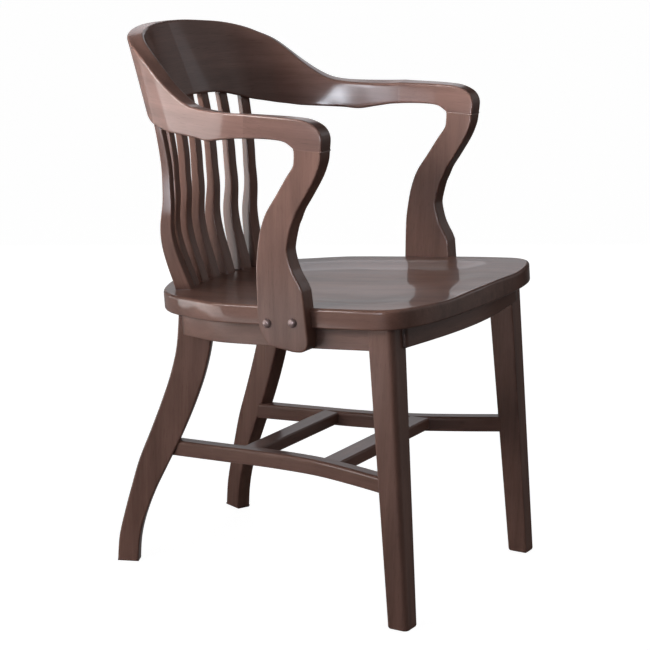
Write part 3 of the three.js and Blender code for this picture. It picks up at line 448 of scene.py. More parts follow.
def plate_rings(outline, thickness, radius, arc_steps=4, support=0.8):
    """Rings of a plate with rounded edges: points (outline, height) and their edge share, which lightens
    them as scuffing and as a painted highlight.
    """
    rows = [(inset(outline, radius + support), 0, 0)]
    for angle in quarter(arc_steps):
        ring = inset(outline, radius * (1 - math.sin(angle)))
        rows.append((ring, radius * (1 - math.cos(angle)), math.sin(2 * angle)))
    rows += [(ring, thickness - height, wear_and_highlight) for ring, height, wear_and_highlight in rows[::-1]]
    points = np.array([np.column_stack([ring, np.full(len(ring), height)]) for ring, height, _ in rows])
    edge = np.array([[wear_and_highlight] * len(outline) for _, _, wear_and_highlight in rows])
    return points, edge


# Materials

def level(value):
    return (value, value, value)


# Noises: scale along, across and through the grain, per metre; detail, roughness and distortion
FIGURE = ((3.2, 46, 46), 5, 0.55, 0.6)
FIBRE = ((9, 330, 330), 4, 0.6, 0.2)
PORE = ((55, 1500, 1500), 2, 0.5, 0)
CLOUD = ((5, 11, 11), 3, 0.5, 0.3)
WAVE = ((5, 16, 16), 2, 0.5, 0)
SPECKLE = ((900, 900, 900), 3, 0.6, 0)
FIGURE_STOPS = (0.3, 0.5, 0.72)
STREAKS = [(0.3, level(0.9)), (0.62, level(1.05))]
STREAK_SHARE = 0.8
PORES = [(0.58, level(1)), (0.74, level(0.5))]
PORE_SHARE = 0.6
UNEVEN = [(0.36, (0.84, 0.79, 0.76)), (0.64, (1.13, 1.09, 1.08))]
UNEVEN_SHARE = 0.9
# How strongly the rounded edges take the edge colour, for scuffing and a painted highlight
RUBBED_AND_HIGHLIT = [(0.35, level(0.08)), (0.65, level(0.34))]
SHEEN_SPREAD = (-0.05, 0.08)
WOOD_SPECULAR = 0.12
FIBRE_HEIGHT = 0.6  # over that of the pores
FIBRE_BUMP = 0.12
WAVE_BUMP = 1.0
BUMP_DISTANCE = 0.0004
STEEL_SPECKLE = [(0.35, (0.2, 0.135, 0.125)), (0.7, (0.33, 0.235, 0.225))]
STEEL_SHEEN = (0.28, 0.42)
STEEL_METALLIC = 0.3


def node(tree, kind, place, **settings):
    made = tree.nodes.new(kind)
    made.location = place
    for key, value in settings.items():
        if key in made.inputs:
            made.inputs[key].default_value = value
        else:
            setattr(made, key, value)
    return made


def mapped_noise(tree, source, scale, detail, roughness, distortion, place):
    mapping = node(tree, "ShaderNodeMapping", place, Scale=scale)
    settings = {"Scale": 1, "Detail": detail, "Roughness": roughness, "Distortion": distortion}
    noise = node(tree, "ShaderNodeTexNoise", (place[0] + 200, place[1]), **settings)
    tree.links.new(source, mapping.inputs["Vector"])
    tree.links.new(mapping.outputs["Vector"], noise.inputs["Vector"])
    return noise.outputs["Fac"]


def ramp(tree, source, stops, place):
    made = node(tree, "ShaderNodeValToRGB", place)
    elements = made.color_ramp.elements
    while len(elements) < len(stops):
        elements.new(0.5)
    for element, (position, color) in zip(elements, stops):
        element.position = position
        element.color = (*color, 1)
    tree.links.new(source, made.inputs["Fac"])
    return made.outputs["Color"]


def empty_material(name):
    material = bpy.data.materials.new(name)
    material.use_nodes = True
    material.node_tree.nodes.clear()
    return material


def mix(tree, mode, factor, a, b, place):
    made = node(tree, "ShaderNodeMix", place, data_type="RGBA", blend_type=mode)
    sockets = made.inputs
    if isinstance(factor, (int, float)):
        sockets[0].default_value = factor
    else:
        tree.links.new(factor, sockets[0])
    for socket, value in ((sockets[6], a), (sockets[7], b)):
        if isinstance(value, tuple):
            socket.default_value = (*value, 1)
        else:
            tree.links.new(value, socket)
    return made.outputs[2]


def wood(name, dark, light, worn_and_highlit, roughness, coat, coat_roughness):
    """Straight-grained timber under a lacquer: figure, fibres, open pores, scuffed edges with a painted
    highlight, and uneven sheen.
    """
    material = empty_material(name)
    tree = material.node_tree
    link = tree.links.new
    grain = node(tree, "ShaderNodeAttribute", (-1500, 0), attribute_name="grain").outputs["Vector"]
    wear_and_highlight = node(tree, "ShaderNodeAttribute", (-1500, -700), attribute_name="edge").outputs["Fac"]
    figure = mapped_noise(tree, grain, *FIGURE, (-1200, 300))
    fibre = mapped_noise(tree, grain, *FIBRE, (-1200, 0))
    pore = mapped_noise(tree, grain, *PORE, (-1200, -300))
    cloud = mapped_noise(tree, grain, *CLOUD, (-1200, -600))
    medium = tuple((d + l) / 2 for d, l in zip(dark, light))
    base = ramp(tree, figure, list(zip(FIGURE_STOPS, (dark, medium, light))), (-700, 300))
    base = mix(tree, "MULTIPLY", STREAK_SHARE, base, ramp(tree, fibre, STREAKS, (-700, 0)), (-400, 200))
    base = mix(tree, "MULTIPLY", PORE_SHARE, base, ramp(tree, pore, PORES, (-700, -300)), (-200, 200))
    base = mix(tree, "MULTIPLY", UNEVEN_SHARE, base, ramp(tree, cloud, UNEVEN, (-700, -600)), (0, 200))
    # Rounded edges lighten towards the edge colour: scuffing, and a painted highlight for the light that
    # the edges catch
    rubbed_and_highlit = node(tree, "ShaderNodeMath", (-200, -500), operation="MULTIPLY")
    link(wear_and_highlight, rubbed_and_highlit.inputs[0])
    link(ramp(tree, cloud, RUBBED_AND_HIGHLIT, (-700, -850)), rubbed_and_highlit.inputs[1])
    base = mix(tree, "MIX", rubbed_and_highlit.outputs[0], base, worn_and_highlit, (200, 200))
    shader = node(tree, "ShaderNodeBsdfPrincipled", (600, 100))
    link(base, shader.inputs["Base Color"])
    low, high = (roughness + change for change in SHEEN_SPREAD)
    link(sheen(tree, fibre, low, high, (200, -100)), shader.inputs["Roughness"])
    shader.inputs["Coat Weight"].default_value = coat
    shader.inputs["Coat Roughness"].default_value = coat_roughness
    shader.inputs["Specular IOR Level"].default_value = WOOD_SPECULAR
    height = node(tree, "ShaderNodeMath", (0, -300), operation="MULTIPLY_ADD")
    link(fibre, height.inputs[0])
    height.inputs[1].default_value = FIBRE_HEIGHT
    link(pore, height.inputs[2])
    bump = node(tree, "ShaderNodeBump", (300, -350), Strength=FIBRE_BUMP, Distance=BUMP_DISTANCE)
    link(height.outputs[0], bump.inputs["Height"])
    wave = mapped_noise(tree, grain, *WAVE, (-1200, -900))
    waves = node(tree, "ShaderNodeBump", (300, -600), Strength=WAVE_BUMP, Distance=BUMP_DISTANCE)
    link(wave, waves.inputs["Height"])
    link(waves.outputs["Normal"], bump.inputs["Normal"])
    link(bump.outputs["Normal"], shader.inputs["Normal"])
    output = node(tree, "ShaderNodeOutputMaterial", (900, 100))
    link(shader.outputs["BSDF"], output.inputs["Surface"])
    return material


def sheen(tree, source, low, high, place):
    """A roughness between two values."""
    made = node(tree, "ShaderNodeMapRange", place)
    tree.links.new(source, made.inputs["Value"])
    made.inputs["To Min"].default_value = low
    made.inputs["To Max"].default_value = high
    return made.outputs["Result"]


def bronzed_steel(name):
    """Screw heads under the same dark finish: brushed and slightly scuffed."""
    material = empty_material(name)
    tree = material.node_tree
    link = tree.links.new
    place = node(tree, "ShaderNodeTexCoord", (-900, 0)).outputs["Object"]
    speckle = mapped_noise(tree, place, *SPECKLE, (-700, 0))
    shader = node(tree, "ShaderNodeBsdfPrincipled", (200, 0), Metallic=STEEL_METALLIC)
    link(ramp(tree, speckle, STEEL_SPECKLE, (-300, 100)), shader.inputs["Base Color"])
    link(sheen(tree, speckle, *STEEL_SHEEN, (-100, -200)), shader.inputs["Roughness"])
    output = node(tree, "ShaderNodeOutputMaterial", (500, 0))
    link(shader.outputs["BSDF"], output.inputs["Surface"])
    return material


DARK = (0.135, 0.071, 0.055)
LIGHT = (0.205, 0.11, 0.085)
# Colour of the rounded edges: scuffed timber and a painted highlight
WORN_AND_HIGHLIT = (0.265, 0.15, 0.118)
DARK_BOW = (0.129, 0.071, 0.058)
LIGHT_BOW = (0.196, 0.11, 0.09)
# Colour of the bow's rounded edges: scuffed timber and a painted highlight
WORN_AND_HIGHLIT_BOW = (0.27, 0.165, 0.14)
BEECH = [(0.42, 0.26, 0.14), (0.62, 0.43, 0.26), (0.6, 0.42, 0.26)]
MATERIALS = {  # wood: its colours, roughness, weight of the lacquer coat, roughness of the coat
    "walnut_seat": wood("walnut_seat", DARK, LIGHT, WORN_AND_HIGHLIT, 0.4, 0.55, 0.07),
    "walnut_bow": wood("walnut_bow", DARK_BOW, LIGHT_BOW, WORN_AND_HIGHLIT_BOW, 0.46, 0.5, 0.12),
    "walnut_frame": wood("walnut_frame", DARK, LIGHT, WORN_AND_HIGHLIT, 0.46, 0.5, 0.15),
    "raw_beech": wood("raw_beech", *BEECH, 0.62, 0, 0.3),
    "bronzed_steel": bronzed_steel("bronzed_steel"),
}


# Seat

def pitched(points):
    """Points of the flat seat (x, y, z under its top plane) turned to the seat's pitch and height."""
    points = np.asarray(points, float)
    c, s = math.cos(SEAT_PITCH), math.sin(SEAT_PITCH)
    x, y, z = points[..., 0], points[..., 1], points[..., 2]
    return np.stack([x, y * c + z * s, SEAT_HEIGHT - y * s + z * c], -1)


def underside(y):
    """Height of the seat's under face at a place."""
    drop = SEAT_THICKNESS / math.cos(SEAT_PITCH)
    return SEAT_HEIGHT - y * math.tan(SEAT_PITCH) - drop


def seat_outline(count):
    depth = SEAT_FRONT + SEAT_BACK
    half = [[x * SEAT_HALF_WIDTH, y * depth - SEAT_FRONT] for x, y in SEAT_OUTLINE]
    return closed_curve(half + [[-x, y] for x, y in half[-2:0:-1]], count)


def falling(value, start, end):
    """1 before start, 0 after end, smooth between."""
    t = np.clip((value - start) / (end - start), 0, 1)
    return 1 - t * t * (3 - 2 * t)


def saddle(x, y):
    """How deep the thigh scoops are at a place, and how high the pommel between them is."""
    scoop = np.exp(-(((np.abs(x) - SCOOP_PLACE) / SCOOP_WIDTH) ** 2)) * falling(y, *SCOOP_RUN) * SCOOP_DEPTH
    ridge = np.exp(-((x / POMMEL_WIDTH) ** 2)) * falling(y, *POMMEL_RUN) * POMMEL_RISE
    return scoop, ridge


def make_seat():
    outline = seat_outline(SEAT_POINTS)
    rim = inset(outline, SEAT_EDGE_RADIUS)
    middle = np.array([0, (SEAT_BACK - SEAT_FRONT) / 2])
    dish = table(SEAT_DISHING)
    rows = []  # ring, height over the top plane, how far it follows the scoops, edge share for scuffing and painted highlight
    for angle in quarter(SEAT_UNDER_STEPS):
        ring = inset(outline, SEAT_UNDER_RADIUS * (1 - math.sin(angle)))
        height = -SEAT_THICKNESS + SEAT_UNDER_RADIUS * (1 - math.cos(angle))
        rows.append((ring, height, 0, math.sin(2 * angle)))
    rows.append((outline, -SEAT_THICKNESS / 2, SEAT_SIDE_FOLLOW, 0))
    for angle in quarter(SEAT_EDGE_STEPS):
        ring = inset(outline, SEAT_EDGE_RADIUS * (1 - math.cos(angle)))
        rows.append((ring, SEAT_EDGE_RADIUS * (math.sin(angle) - 1), 1, math.sin(2 * angle)))
    for share in np.linspace(*SEAT_TOP_SPAN, SEAT_TOP_RINGS):
        rows.append((middle + (rim - middle) * share, -dish(share) * SEAT_DISH, 1, 0))
    rings, edge = [], []
    for ring, height, follow, wear_and_highlight in rows:
        scoop, ridge = saddle(ring[:, 0], ring[:, 1])
        inner = np.clip(-height / SEAT_DISH, 0, 1) if wear_and_highlight == 0 else 0
        rings.append(np.column_stack([ring, height - scoop * follow + ridge * inner * follow]))
        edge.append(np.full(len(ring), wear_and_highlight * SEAT_EDGE_WEAR_AND_HIGHLIGHT))
    rings = np.array(rings)
    add_mesh("seat_visual", pitched(rings), rings[:, :, [1, 0, 2]], edge, ["seat"], "walnut_seat", 1)


# Rails

def rail_edge(distance):
    """The line of a side rail: the seat's outline moved inwards, but no wider than the legs."""
    most = LEG_TOP[0] + LEG_TOP_SIDE / 2 - JOINT_GAP * 2 - (distance - APRON_INSET)
    side = inset(seat_outline(OUTLINE_POINTS), distance)
    side = side[side[:, 0] > OUTLINE_SIDE]
    side = side[np.argsort(side[:, 1])]
    y = np.linspace(SIDE_RAIL_FRONT, SIDE_RAIL_BACK, SIDE_RAIL_POINTS)
    return np.column_stack([np.minimum(np.interp(y, side[:, 1], side[:, 0]), most), y])


def under_seat(outline):
    """Rings of a rail that hangs under the seat, with the grain along y, and their wear."""
    points, edge = plate_rings(np.asarray(outline, float), APRON_HEIGHT, APRON_RADIUS)
    grain = points[:, :, [1, 0, 2]]
    return pitched(points - Z * (SEAT_THICKNESS + APRON_HEIGHT)), grain, edge


def make_cross_rail(name, outline, seed):
    rings, grain, edge = under_seat(outline)
    add_mesh(name + "_visual", rings, grain[:, :, [1, 0, 2]], edge, [name], "walnut_frame", seed)


def make_rails():
    outer, inner = rail_edge(APRON_INSET), rail_edge(APRON_INSET + APRON_THICKNESS)
    pair("side_rail", *under_seat(np.vstack([outer, inner[::-1]])), "walnut_frame", 3)
    share = np.linspace(-1, 1, FRONT_RAIL_POINTS)
    bow = FRONT_RAIL_BOW * np.cos(share * math.pi / 2)
    face = LEG_TOP[1] - LEG_TOP_SIDE / 2 + RAIL_SINK
    front = np.column_stack([share * (LEG_TOP[0] - LEG_TOP_SIDE / 4), face - bow])
    back = front + [0, APRON_THICKNESS]
    make_cross_rail("front_rail", np.vstack([front, back[::-1]]), 5)
    near, far = REAR_RAIL_PLACE, REAR_RAIL_PLACE + APRON_THICKNESS
    steps = np.linspace(-REAR_RAIL_HALF, REAR_RAIL_HALF, REAR_RAIL_POINTS)
    make_cross_rail("rear_rail", [[x, near] for x in steps] + [[x, far] for x in steps[::-1]], 6)


# Legs

def make_front_legs():
    """Rings from the foot to the last one, which lies on the seat's underside."""
    foot, top = np.array(LEG_FOOT), np.array(LEG_TOP)
    rings, edges = [], []
    for z in (*FOOT_RINGS, *np.linspace(*LEG_RINGS), *LEG_TOP_RINGS, None):
        last = z is None
        at = (underside(LEG_TOP[1]) if last else z) / LEG_TOP_Z
        side = LEG_FOOT_SIDE + (LEG_TOP_SIDE - LEG_FOOT_SIDE) * at
        large = LEG_OUTER_RADIUS * side / LEG_TOP_SIDE
        low = 0 if last else max(0.0, FOOT_RADIUS - z)
        shrink = FOOT_RADIUS - math.sqrt(max(FOOT_RADIUS**2 - low**2, 0))
        radii = [CORNER_RADIUS] * 3 + [large - shrink]
        points, edge = section(side - 2 * shrink, side - 2 * shrink, radii, LEG_ARC_STEPS)
        points = points + (foot + (top - foot) * at)
        height = underside(points[:, 1]) if last else np.full(len(points), z)
        rings.append(np.column_stack([points, height]))
        outer_corner = np.arange(len(points)) >= 3 * (len(points) // 4)
        edge = edge * np.where(outer_corner, OUTER_CORNER_WEAR_AND_HIGHLIGHT, 1)
        edges.append(edge if last or z > FOOT_RADIUS else np.maximum(edge, FOOT_WEAR))
    rings = np.array(rings)
    pair("front_leg", rings, rings[:, :, [2, 1, 0]], edges, "walnut_frame", 11)


def make_rear_legs():
    def edge_of(rows):
        curve = spline(rows, SABRE_STEPS)
        return np.column_stack([curve[:, 1] * SABRE_SWEEP, curve[:, 0] * SABRE_RISE])

    outline = np.vstack([edge_of(SABRE_BACK), edge_of(SABRE_FRONT)[::-1]])
    points, edge = plate_rings(outline, SABRE_THICKNESS, CORNER_RADIUS)
    sweep = np.array([math.sin(SABRE_TURN), math.cos(SABRE_TURN), 0])
    outward = np.array([math.cos(SABRE_TURN), -math.sin(SABRE_TURN), 0])
    along, up, out = points[:, :, 0:1], points[:, :, 1:2], points[:, :, 2:3]
    rings = np.array([*SABRE_FOOT, 0]) + along * sweep + up * Z + out * outward
    rings[:, :, 2] = np.minimum(rings[:, :, 2], underside(rings[:, :, 1]))
    rings[:, :, 2] = np.maximum(rings[:, :, 2], 0)
    pair("rear_leg", rings, points[:, :, [1, 0, 2]], edge, "walnut_frame", 21)


# Stretchers

stretcher_edge = table(STRETCHER_PLAN)


def stretcher_at(y):
    share = (y - STRETCHER_FRONT[1]) / (STRETCHER_REAR_Y - STRETCHER_FRONT[1])
    return stretcher_edge(share) * STRETCHER_FRONT[0] - STRETCHER_WIDTH / 2


def stretcher_top(y):
    return STRETCHER_TOP - STRETCHER_RISE * y


def make_stretchers():
    rounding = [CROSS_RADIUS * STRETCHER_TOP_ROUNDING] * 2 + [CROSS_RADIUS] * 2
    shape, edge = section(STRETCHER_WIDTH, STRETCHER_HEIGHT, rounding)
    reach = (STRETCHER_REAR_Y - STRETCHER_FRONT[1]) / STRETCHER_STEPS
    rings = []
    for k in range(STRETCHER_STEPS + 1):
        y = STRETCHER_REAR_Y - reach * k
        slope = (stretcher_at(y + SLOPE_REACH) - stretcher_at(y - SLOPE_REACH)) / (2 * SLOPE_REACH)
        across = np.array([1, -slope, 0]) / math.hypot(1, slope)
        centre = np.array([stretcher_at(y), y, stretcher_top(y) - STRETCHER_HEIGHT / 2])
        rings.append(centre + shape[:, 0:1] * across + shape[:, 1:2] * Z)
    rings = np.array(rings)
    grain = with_grain_along(rings, shape[:, 0], shape[:, 1])
    pair("side_stretcher", rings, grain, edge, "walnut_frame", 31)
    for number, (name, place, width) in enumerate(CROSSES):
        half = stretcher_at(place) - CROSS_SINK
        shape, edge = section(width, CROSS_HEIGHT, [CROSS_RADIUS] * 4)
        middle = stretcher_top(place) - CROSS_DROP - CROSS_HEIGHT / 2
        steps = np.linspace(-half, half, CROSS_POINTS)
        rings = np.array([[[x, place + a, middle + b] for a, b in shape] for x in steps])
        add_mesh(name + "_visual", rings, rings, edge, [name], "walnut_frame", 41 + number)


# Bow, arms and posts

def bow_stations(steps):
    """Along the +X half: place, outward, height of the lower and upper edge, lean, tilt and width."""
    rows = spline(BOW_ROWS, steps)
    place = np.column_stack([rows[:, 0] * BOW_HALF_WIDTH, BOW_END + rows[:, 1] * (BOW_BACK - BOW_END)])
    lower = BOW_LOWER - rows[:, 2] * (BOW_LOWER - BOW_HIP)
    upper = BOW_WAIST + rows[:, 3] * (BOW_UPPER - BOW_WAIST)
    along = np.gradient(place, axis=0)
    along[0] = (1, 0)
    along /= np.linalg.norm(along, axis=1)[:, None]
    straight = falling(place[:, 1], BOW_END, BOW_END + BOW_SQUARING)[:, None]
    along = along * (1 - straight) + np.array([0, -1]) * straight
    along /= np.linalg.norm(along, axis=1)[:, None]
    outward = np.column_stack([-along[:, 1], along[:, 0]])
    width = BOW_THICKNESS + (BOW_END_THICKNESS - BOW_THICKNESS) * np.linspace(0, 1, steps + 1) ** 2
    return place, outward, lower, upper, rows[:, 4] * BOW_LEAN, rows[:, 5] * BOW_TILT, width


def make_bow():
    half, shapes = [], []
    for place, outward, lower, upper, lean, tilt, width in zip(*bow_stations(BOW_STEPS)):
        height = upper - lower
        shape, edge = section(width, height, [BOW_RADIUS] * 4, BOW_ARC_STEPS, BOW_SIDE_STEPS)
        share = (shape[:, 1] + height / 2) / height
        spread = shape[:, 0] - width / 2 + lean * share
        level_at = lower + share * (height - tilt * shape[:, 0] / width)
        half.append(np.column_stack([place + spread[:, None] * outward, level_at]))
        shapes.append(shape)
    rings = np.array([ring * [-1, 1, 1] for ring in half[:0:-1]] + half)
    across = np.array(shapes[:0:-1] + shapes)[:, :, 0]
    grain = with_grain_along(rings, across, rings[:, :, 2])
    add_mesh("back_bow_visual", rings, grain, edge, ["back_bow"], "walnut_bow", 51)


def post_offset(z):
    """The post's outer face at a height."""
    return POST_SPAN + POST_LEAN * (z - POST_REFERENCE)


def make_arms():
    """Rings from the joint with the bow, round the elbow and down to the joint with the post."""
    rise = ARM_TOP - ARM_JOINT
    rings = []
    for k, (under_y, top_y, under_z, top_z) in enumerate(spline(ARM_ROWS, ARM_STEPS)):
        under = np.array([0, under_y * ARM_ELBOW, ARM_JOINT + under_z * rise])
        top = np.array([0, top_y * ARM_ELBOW, ARM_JOINT + top_z * rise])
        if k == 0:
            under[1] = top[1] = BOW_END
        if k == ARM_STEPS:
            under[2] = top[2] = ARM_JOINT
        height = np.linalg.norm(top - under)
        forward = k / ARM_STEPS
        width = BOW_END_THICKNESS + (ARM_THICKNESS - BOW_END_THICKNESS) * forward
        radius = BOW_RADIUS + (CORNER_RADIUS - BOW_RADIUS) * forward
        shape, edge = section(width, height, [radius] * 4, BOW_ARC_STEPS, BOW_SIDE_STEPS)
        share = (shape[:, 1] + height / 2) / height
        ring = under + (top - under) * share[:, None]
        blend = math.sin(min(forward * ARM_SPREADING, 1) * math.pi / 2)
        outer = BOW_HALF_WIDTH + (post_offset(ring[:, 2]) - BOW_HALF_WIDTH) * blend
        ring[:, 0] = outer - width / 2 + shape[:, 0]
        ring[:, 2] -= BOW_TILT * BOW_ROWS[-1][5] * shape[:, 0] / width * share * (1 - forward) ** 2
        rings.append(ring)
    rings = np.array(rings)
    pair("arm", rings, rings[:, :, [1, 0, 2]], edge, "walnut_bow", 61)


def make_posts():
    def edge_of(rows, steps):
        curve = spline(rows, steps)
        height = POST_BOTTOM + curve[:, 0] * (ARM_JOINT - POST_BOTTOM)
        return np.column_stack([curve[:, 1] * ARM_ELBOW, height])

    lower, upper, back = map(edge_of, (POST_FRONT_LOWER, POST_FRONT_UPPER, POST_BACK), POST_STEPS)
    outline = np.vstack([lower, upper[1:], back])
    outline[outline[:, 1] > ARM_JOINT - TOUCH, 1] += CORNER_RADIUS - POST_TOP_EDGE
    points, edge = plate_rings(outline, ARM_THICKNESS, CORNER_RADIUS)
    y, z, out = points[:, :, 0], points[:, :, 1], points[:, :, 2]
    rings = np.stack([out - ARM_THICKNESS + post_offset(z), y, z], -1)
    pair("arm_post", rings, rings[:, :, [2, 1, 0]], edge, "walnut_frame", 71)


# Slats

def bow_centre_at(distance):
    """The place under the bow's lower face at a distance along it from the middle."""
    place, outward, lower, *_ = bow_stations(HEAD_LINE_STEPS)
    line = place - outward * SLAT_HEAD_INSET
    length = run_of(line)
    x, y, z = [np.interp(abs(distance), length, column) for column in (line[:, 0], line[:, 1], lower)]
    return np.array([math.copysign(x, distance), y, z])


def make_slats():
    sweep, spread = table(SLAT_SWEEP), table(SLAT_SPREADING)
    depth_share, width_share = table(SLAT_SECTION, 1), table(SLAT_SECTION, 2)
    middle = SLAT_COUNT // 2
    for number in range(SLAT_COUNT):
        side = (number - middle) / middle
        sign = math.copysign(1, side)
        foot_share, forward_share, head_share = SLAT_PLACES[abs(number - middle)]
        foot_back = SLAT_FOOT_BACK - forward_share * SLAT_FOOT_FORWARD
        foot = pitched([sign * foot_share * SLAT_FOOT_REACH, foot_back, 0])
        head = bow_centre_at(sign * head_share * SLAT_HEAD_REACH)
        c, s = math.cos(side * SLAT_TURN), math.sin(side * SLAT_TURN)
        across, outward = np.array([c, -s, 0]), np.array([s, c, 0])
        past = SLAT_SINK / (head[2] - foot[2])
        rings, shapes = [], []
        for share in (-past, *np.linspace(0, 1, SLAT_RINGS), 1 + past):
            held = min(max(share, 0), 1)
            centre = foot + (head - foot) * [held, sweep(held), share]
            centre[0] += side * SLAT_SPREAD * spread(held)
            width, depth = SLAT_FOOT[0] * width_share(held), SLAT_FOOT[1] * depth_share(held)
            shape, edge = section(width, depth, [SLAT_RADIUS] * 4, SLAT_ARC_STEPS, SLAT_SIDE_STEPS)
            rings.append(centre + shape[:, 0:1] * across + shape[:, 1:2] * outward)
            shapes.append(shape)
        rings, shapes = np.array(rings), np.array(shapes)
        grain = with_grain_along(rings, shapes[:, :, 0], shapes[:, :, 1])
        name = f"slat_{number + 1}"
        add_mesh(name + "_visual", rings, grain, edge, [name], "walnut_frame", 81 + number)


# Screws

def make_screws():
    axis = np.array([1, 0, -POST_LEAN]) / math.hypot(1, POST_LEAN)
    angles = np.linspace(0, 2 * math.pi, SCREW_SIDES, endpoint=False)[:, None]
    circle = np.cos(angles) * Y + np.sin(angles) * np.cross(axis, Y)
    for name, y, z in SCREWS:
        face = np.array([post_offset(z), y, z]) + axis * JOINT_GAP
        rings = np.array([face + axis * along + radius * circle for radius, along in SCREW_PROFILE])
        pair("post_screw_" + name, rings, rings, 0, "bronzed_steel", 91)


make_seat()
make_rails()
make_front_legs()
make_rear_legs()
make_stretchers()
make_bow()
make_arms()
make_posts()
make_slats()
make_screws()
for name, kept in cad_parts.items():
    if "block" in name or "dowel" in name:
        kept.data.materials.clear()
        kept.data.materials.append(MATERIALS["raw_beech"])


# Stage, lights and camera

STAGE_REACH = 24
FLOOR_DROP = 0.0005
BACKDROP_SIDES = 96
BACKDROP_PROFILE = [(-0.02, 1), (0.8, 1), (0.95, 0.8), (1, 0.02)]  # shares of the reach: height, radius
WHITE = (1, 1, 1)
PAPER_GREY = level(0.3)
PAPER_ROUGHNESS = 0.9
PAPER_SPECULAR = 0.1
FLOOR_GLOW = 0.94
BACKDROP_GLOW = 1.0
PATCH_HEIGHT = 0.01  # of a light patch over the floor
WORLD_BASE = 0.012
GLOW_SHARES = (1.35, 0.3)  # of its width: where a glow of the world begins, and where it is full
DAYLIGHT = (0.88, 0.93, 1)
SIDE_SKY = (0.83, 0.9, 1)
GLEAM = (0.85, 0.91, 1)
WALL = (0.96, 0.95, 1)
ROOM = (0.9, 0.92, 1)
FAR_WINDOW = (0.86, 0.92, 1)
VIEW_AZIMUTH, VIEW_ELEVATION, VIEW_ROLL = -1.06465079, 0.227987465, 0.0186712764  # radians
VIEW_DISTANCE, VIEW_ACROSS, VIEW_ABOVE = 3.52898329, 0.0468458709, 0.353577433
SENSOR_WIDTH = 36  # mm
FOCAL_LENGTH = 125.832


def paper(name, color, glow):
    """Matt paper that glows by itself, so that the floor and backdrop stay white under any light."""
    material = bpy.data.materials.new(name)
    material.use_nodes = True
    inputs = material.node_tree.nodes["Principled BSDF"].inputs
    inputs["Base Color"].default_value = (*color, 1)
    inputs["Roughness"].default_value = PAPER_ROUGHNESS
    inputs["Specular IOR Level"].default_value = PAPER_SPECULAR
    inputs["Emission Color"].default_value = (*WHITE, 1)
    inputs["Emission Strength"].default_value = glow
    return material


def add_stage(name, corners, faces, glow):
    """A sheet of paper that is only seen: the light round the chair comes from the world and the panels."""
    mesh = bpy.data.meshes.new(name)
    mesh.from_pydata(corners, [], faces)
    mesh.materials.append(paper(name + "_paper", PAPER_GREY, glow))
    obj = bpy.data.objects.new(name, mesh)
    bpy.context.scene.collection.objects.link(obj)
    obj.visible_diffuse = False
    obj.visible_glossy = False
    obj.visible_shadow = False
    return obj


def make_floor():
    signs = ((-1, -1), (1, -1), (1, 1), (-1, 1))
    corners = [(x * STAGE_REACH, y * STAGE_REACH, 0) for x, y in signs]
    floor = add_stage("floor", corners, [(0, 1, 2, 3)], FLOOR_GLOW)
    floor.location.z = -FLOOR_DROP


def make_backdrop():
    """A wide cylinder round the floor, drawn in at the top."""
    turns = [math.tau * k / BACKDROP_SIDES for k in range(BACKDROP_SIDES)]
    points = []
    for rise, across in BACKDROP_PROFILE:
        for turn in turns:
            x, y = math.cos(turn) * across * STAGE_REACH, math.sin(turn) * across * STAGE_REACH
            points.append((x, y, rise * STAGE_REACH))
    faces = []
    for ring in range(len(BACKDROP_PROFILE) - 1):
        for k in range(BACKDROP_SIDES):
            a, b = ring * BACKDROP_SIDES + k, ring * BACKDROP_SIDES + (k + 1) % BACKDROP_SIDES
            faces.append((a, b, b + BACKDROP_SIDES, a + BACKDROP_SIDES))
    add_stage("backdrop", points, faces, BACKDROP_GLOW)


def lamp_of(name, width, height, radiance, color):
    """A rectangular light of a given radiance, not seen by the camera."""
    light = bpy.data.lights.new(name, "AREA")
    light.shape = "RECTANGLE"
    light.size = width
    light.size_y = height
    light.energy = radiance * math.pi * light.size * light.size_y
    light.color = color
    lamp = bpy.data.objects.new(name, light)
    bpy.context.scene.collection.objects.link(lamp)
    lamp.visible_camera = False
    return lamp


def panel(
    name, azimuth, distance, spread, low, high, radiance, color=WHITE, beam=180, matt=True, gloss=True
):
    """An upright light panel that faces the chair.

    Its azimuth, from +X to +Y, its width seen from the chair and its beam are in degrees, its
    heights in metres. It can be kept from the matt surfaces or out of the reflections.
    """
    width = 2 * distance * math.tan(math.radians(spread / 2))
    lamp = lamp_of(name, width, high - low, radiance, color)
    lamp.data.spread = math.radians(beam)
    angle = math.radians(azimuth)
    back = Vector((math.cos(angle), math.sin(angle), 0))
    lamp.location = back * distance + Vector((0, 0, (low + high) / 2))
    lamp.rotation_mode = "QUATERNION"
    lamp.rotation_quaternion = (-back).to_track_quat("-Z", "Y")
    lamp.visible_diffuse = matt
    lamp.visible_glossy = gloss


def floor_panel(name, azimuth, spread, near, far, radiance):
    """A light patch on the floor, from near to far metres away, that only shows in reflections."""
    width = (near + far) * math.tan(math.radians(spread / 2))
    lamp = lamp_of(name, width, far - near, radiance, WHITE)
    angle = math.radians(azimuth)
    middle = (near + far) / 2
    lamp.location = (math.cos(angle) * middle, math.sin(angle) * middle, PATCH_HEIGHT)
    lamp.rotation_euler = (math.pi, 0, angle + math.pi / 2)
    lamp.visible_diffuse = False


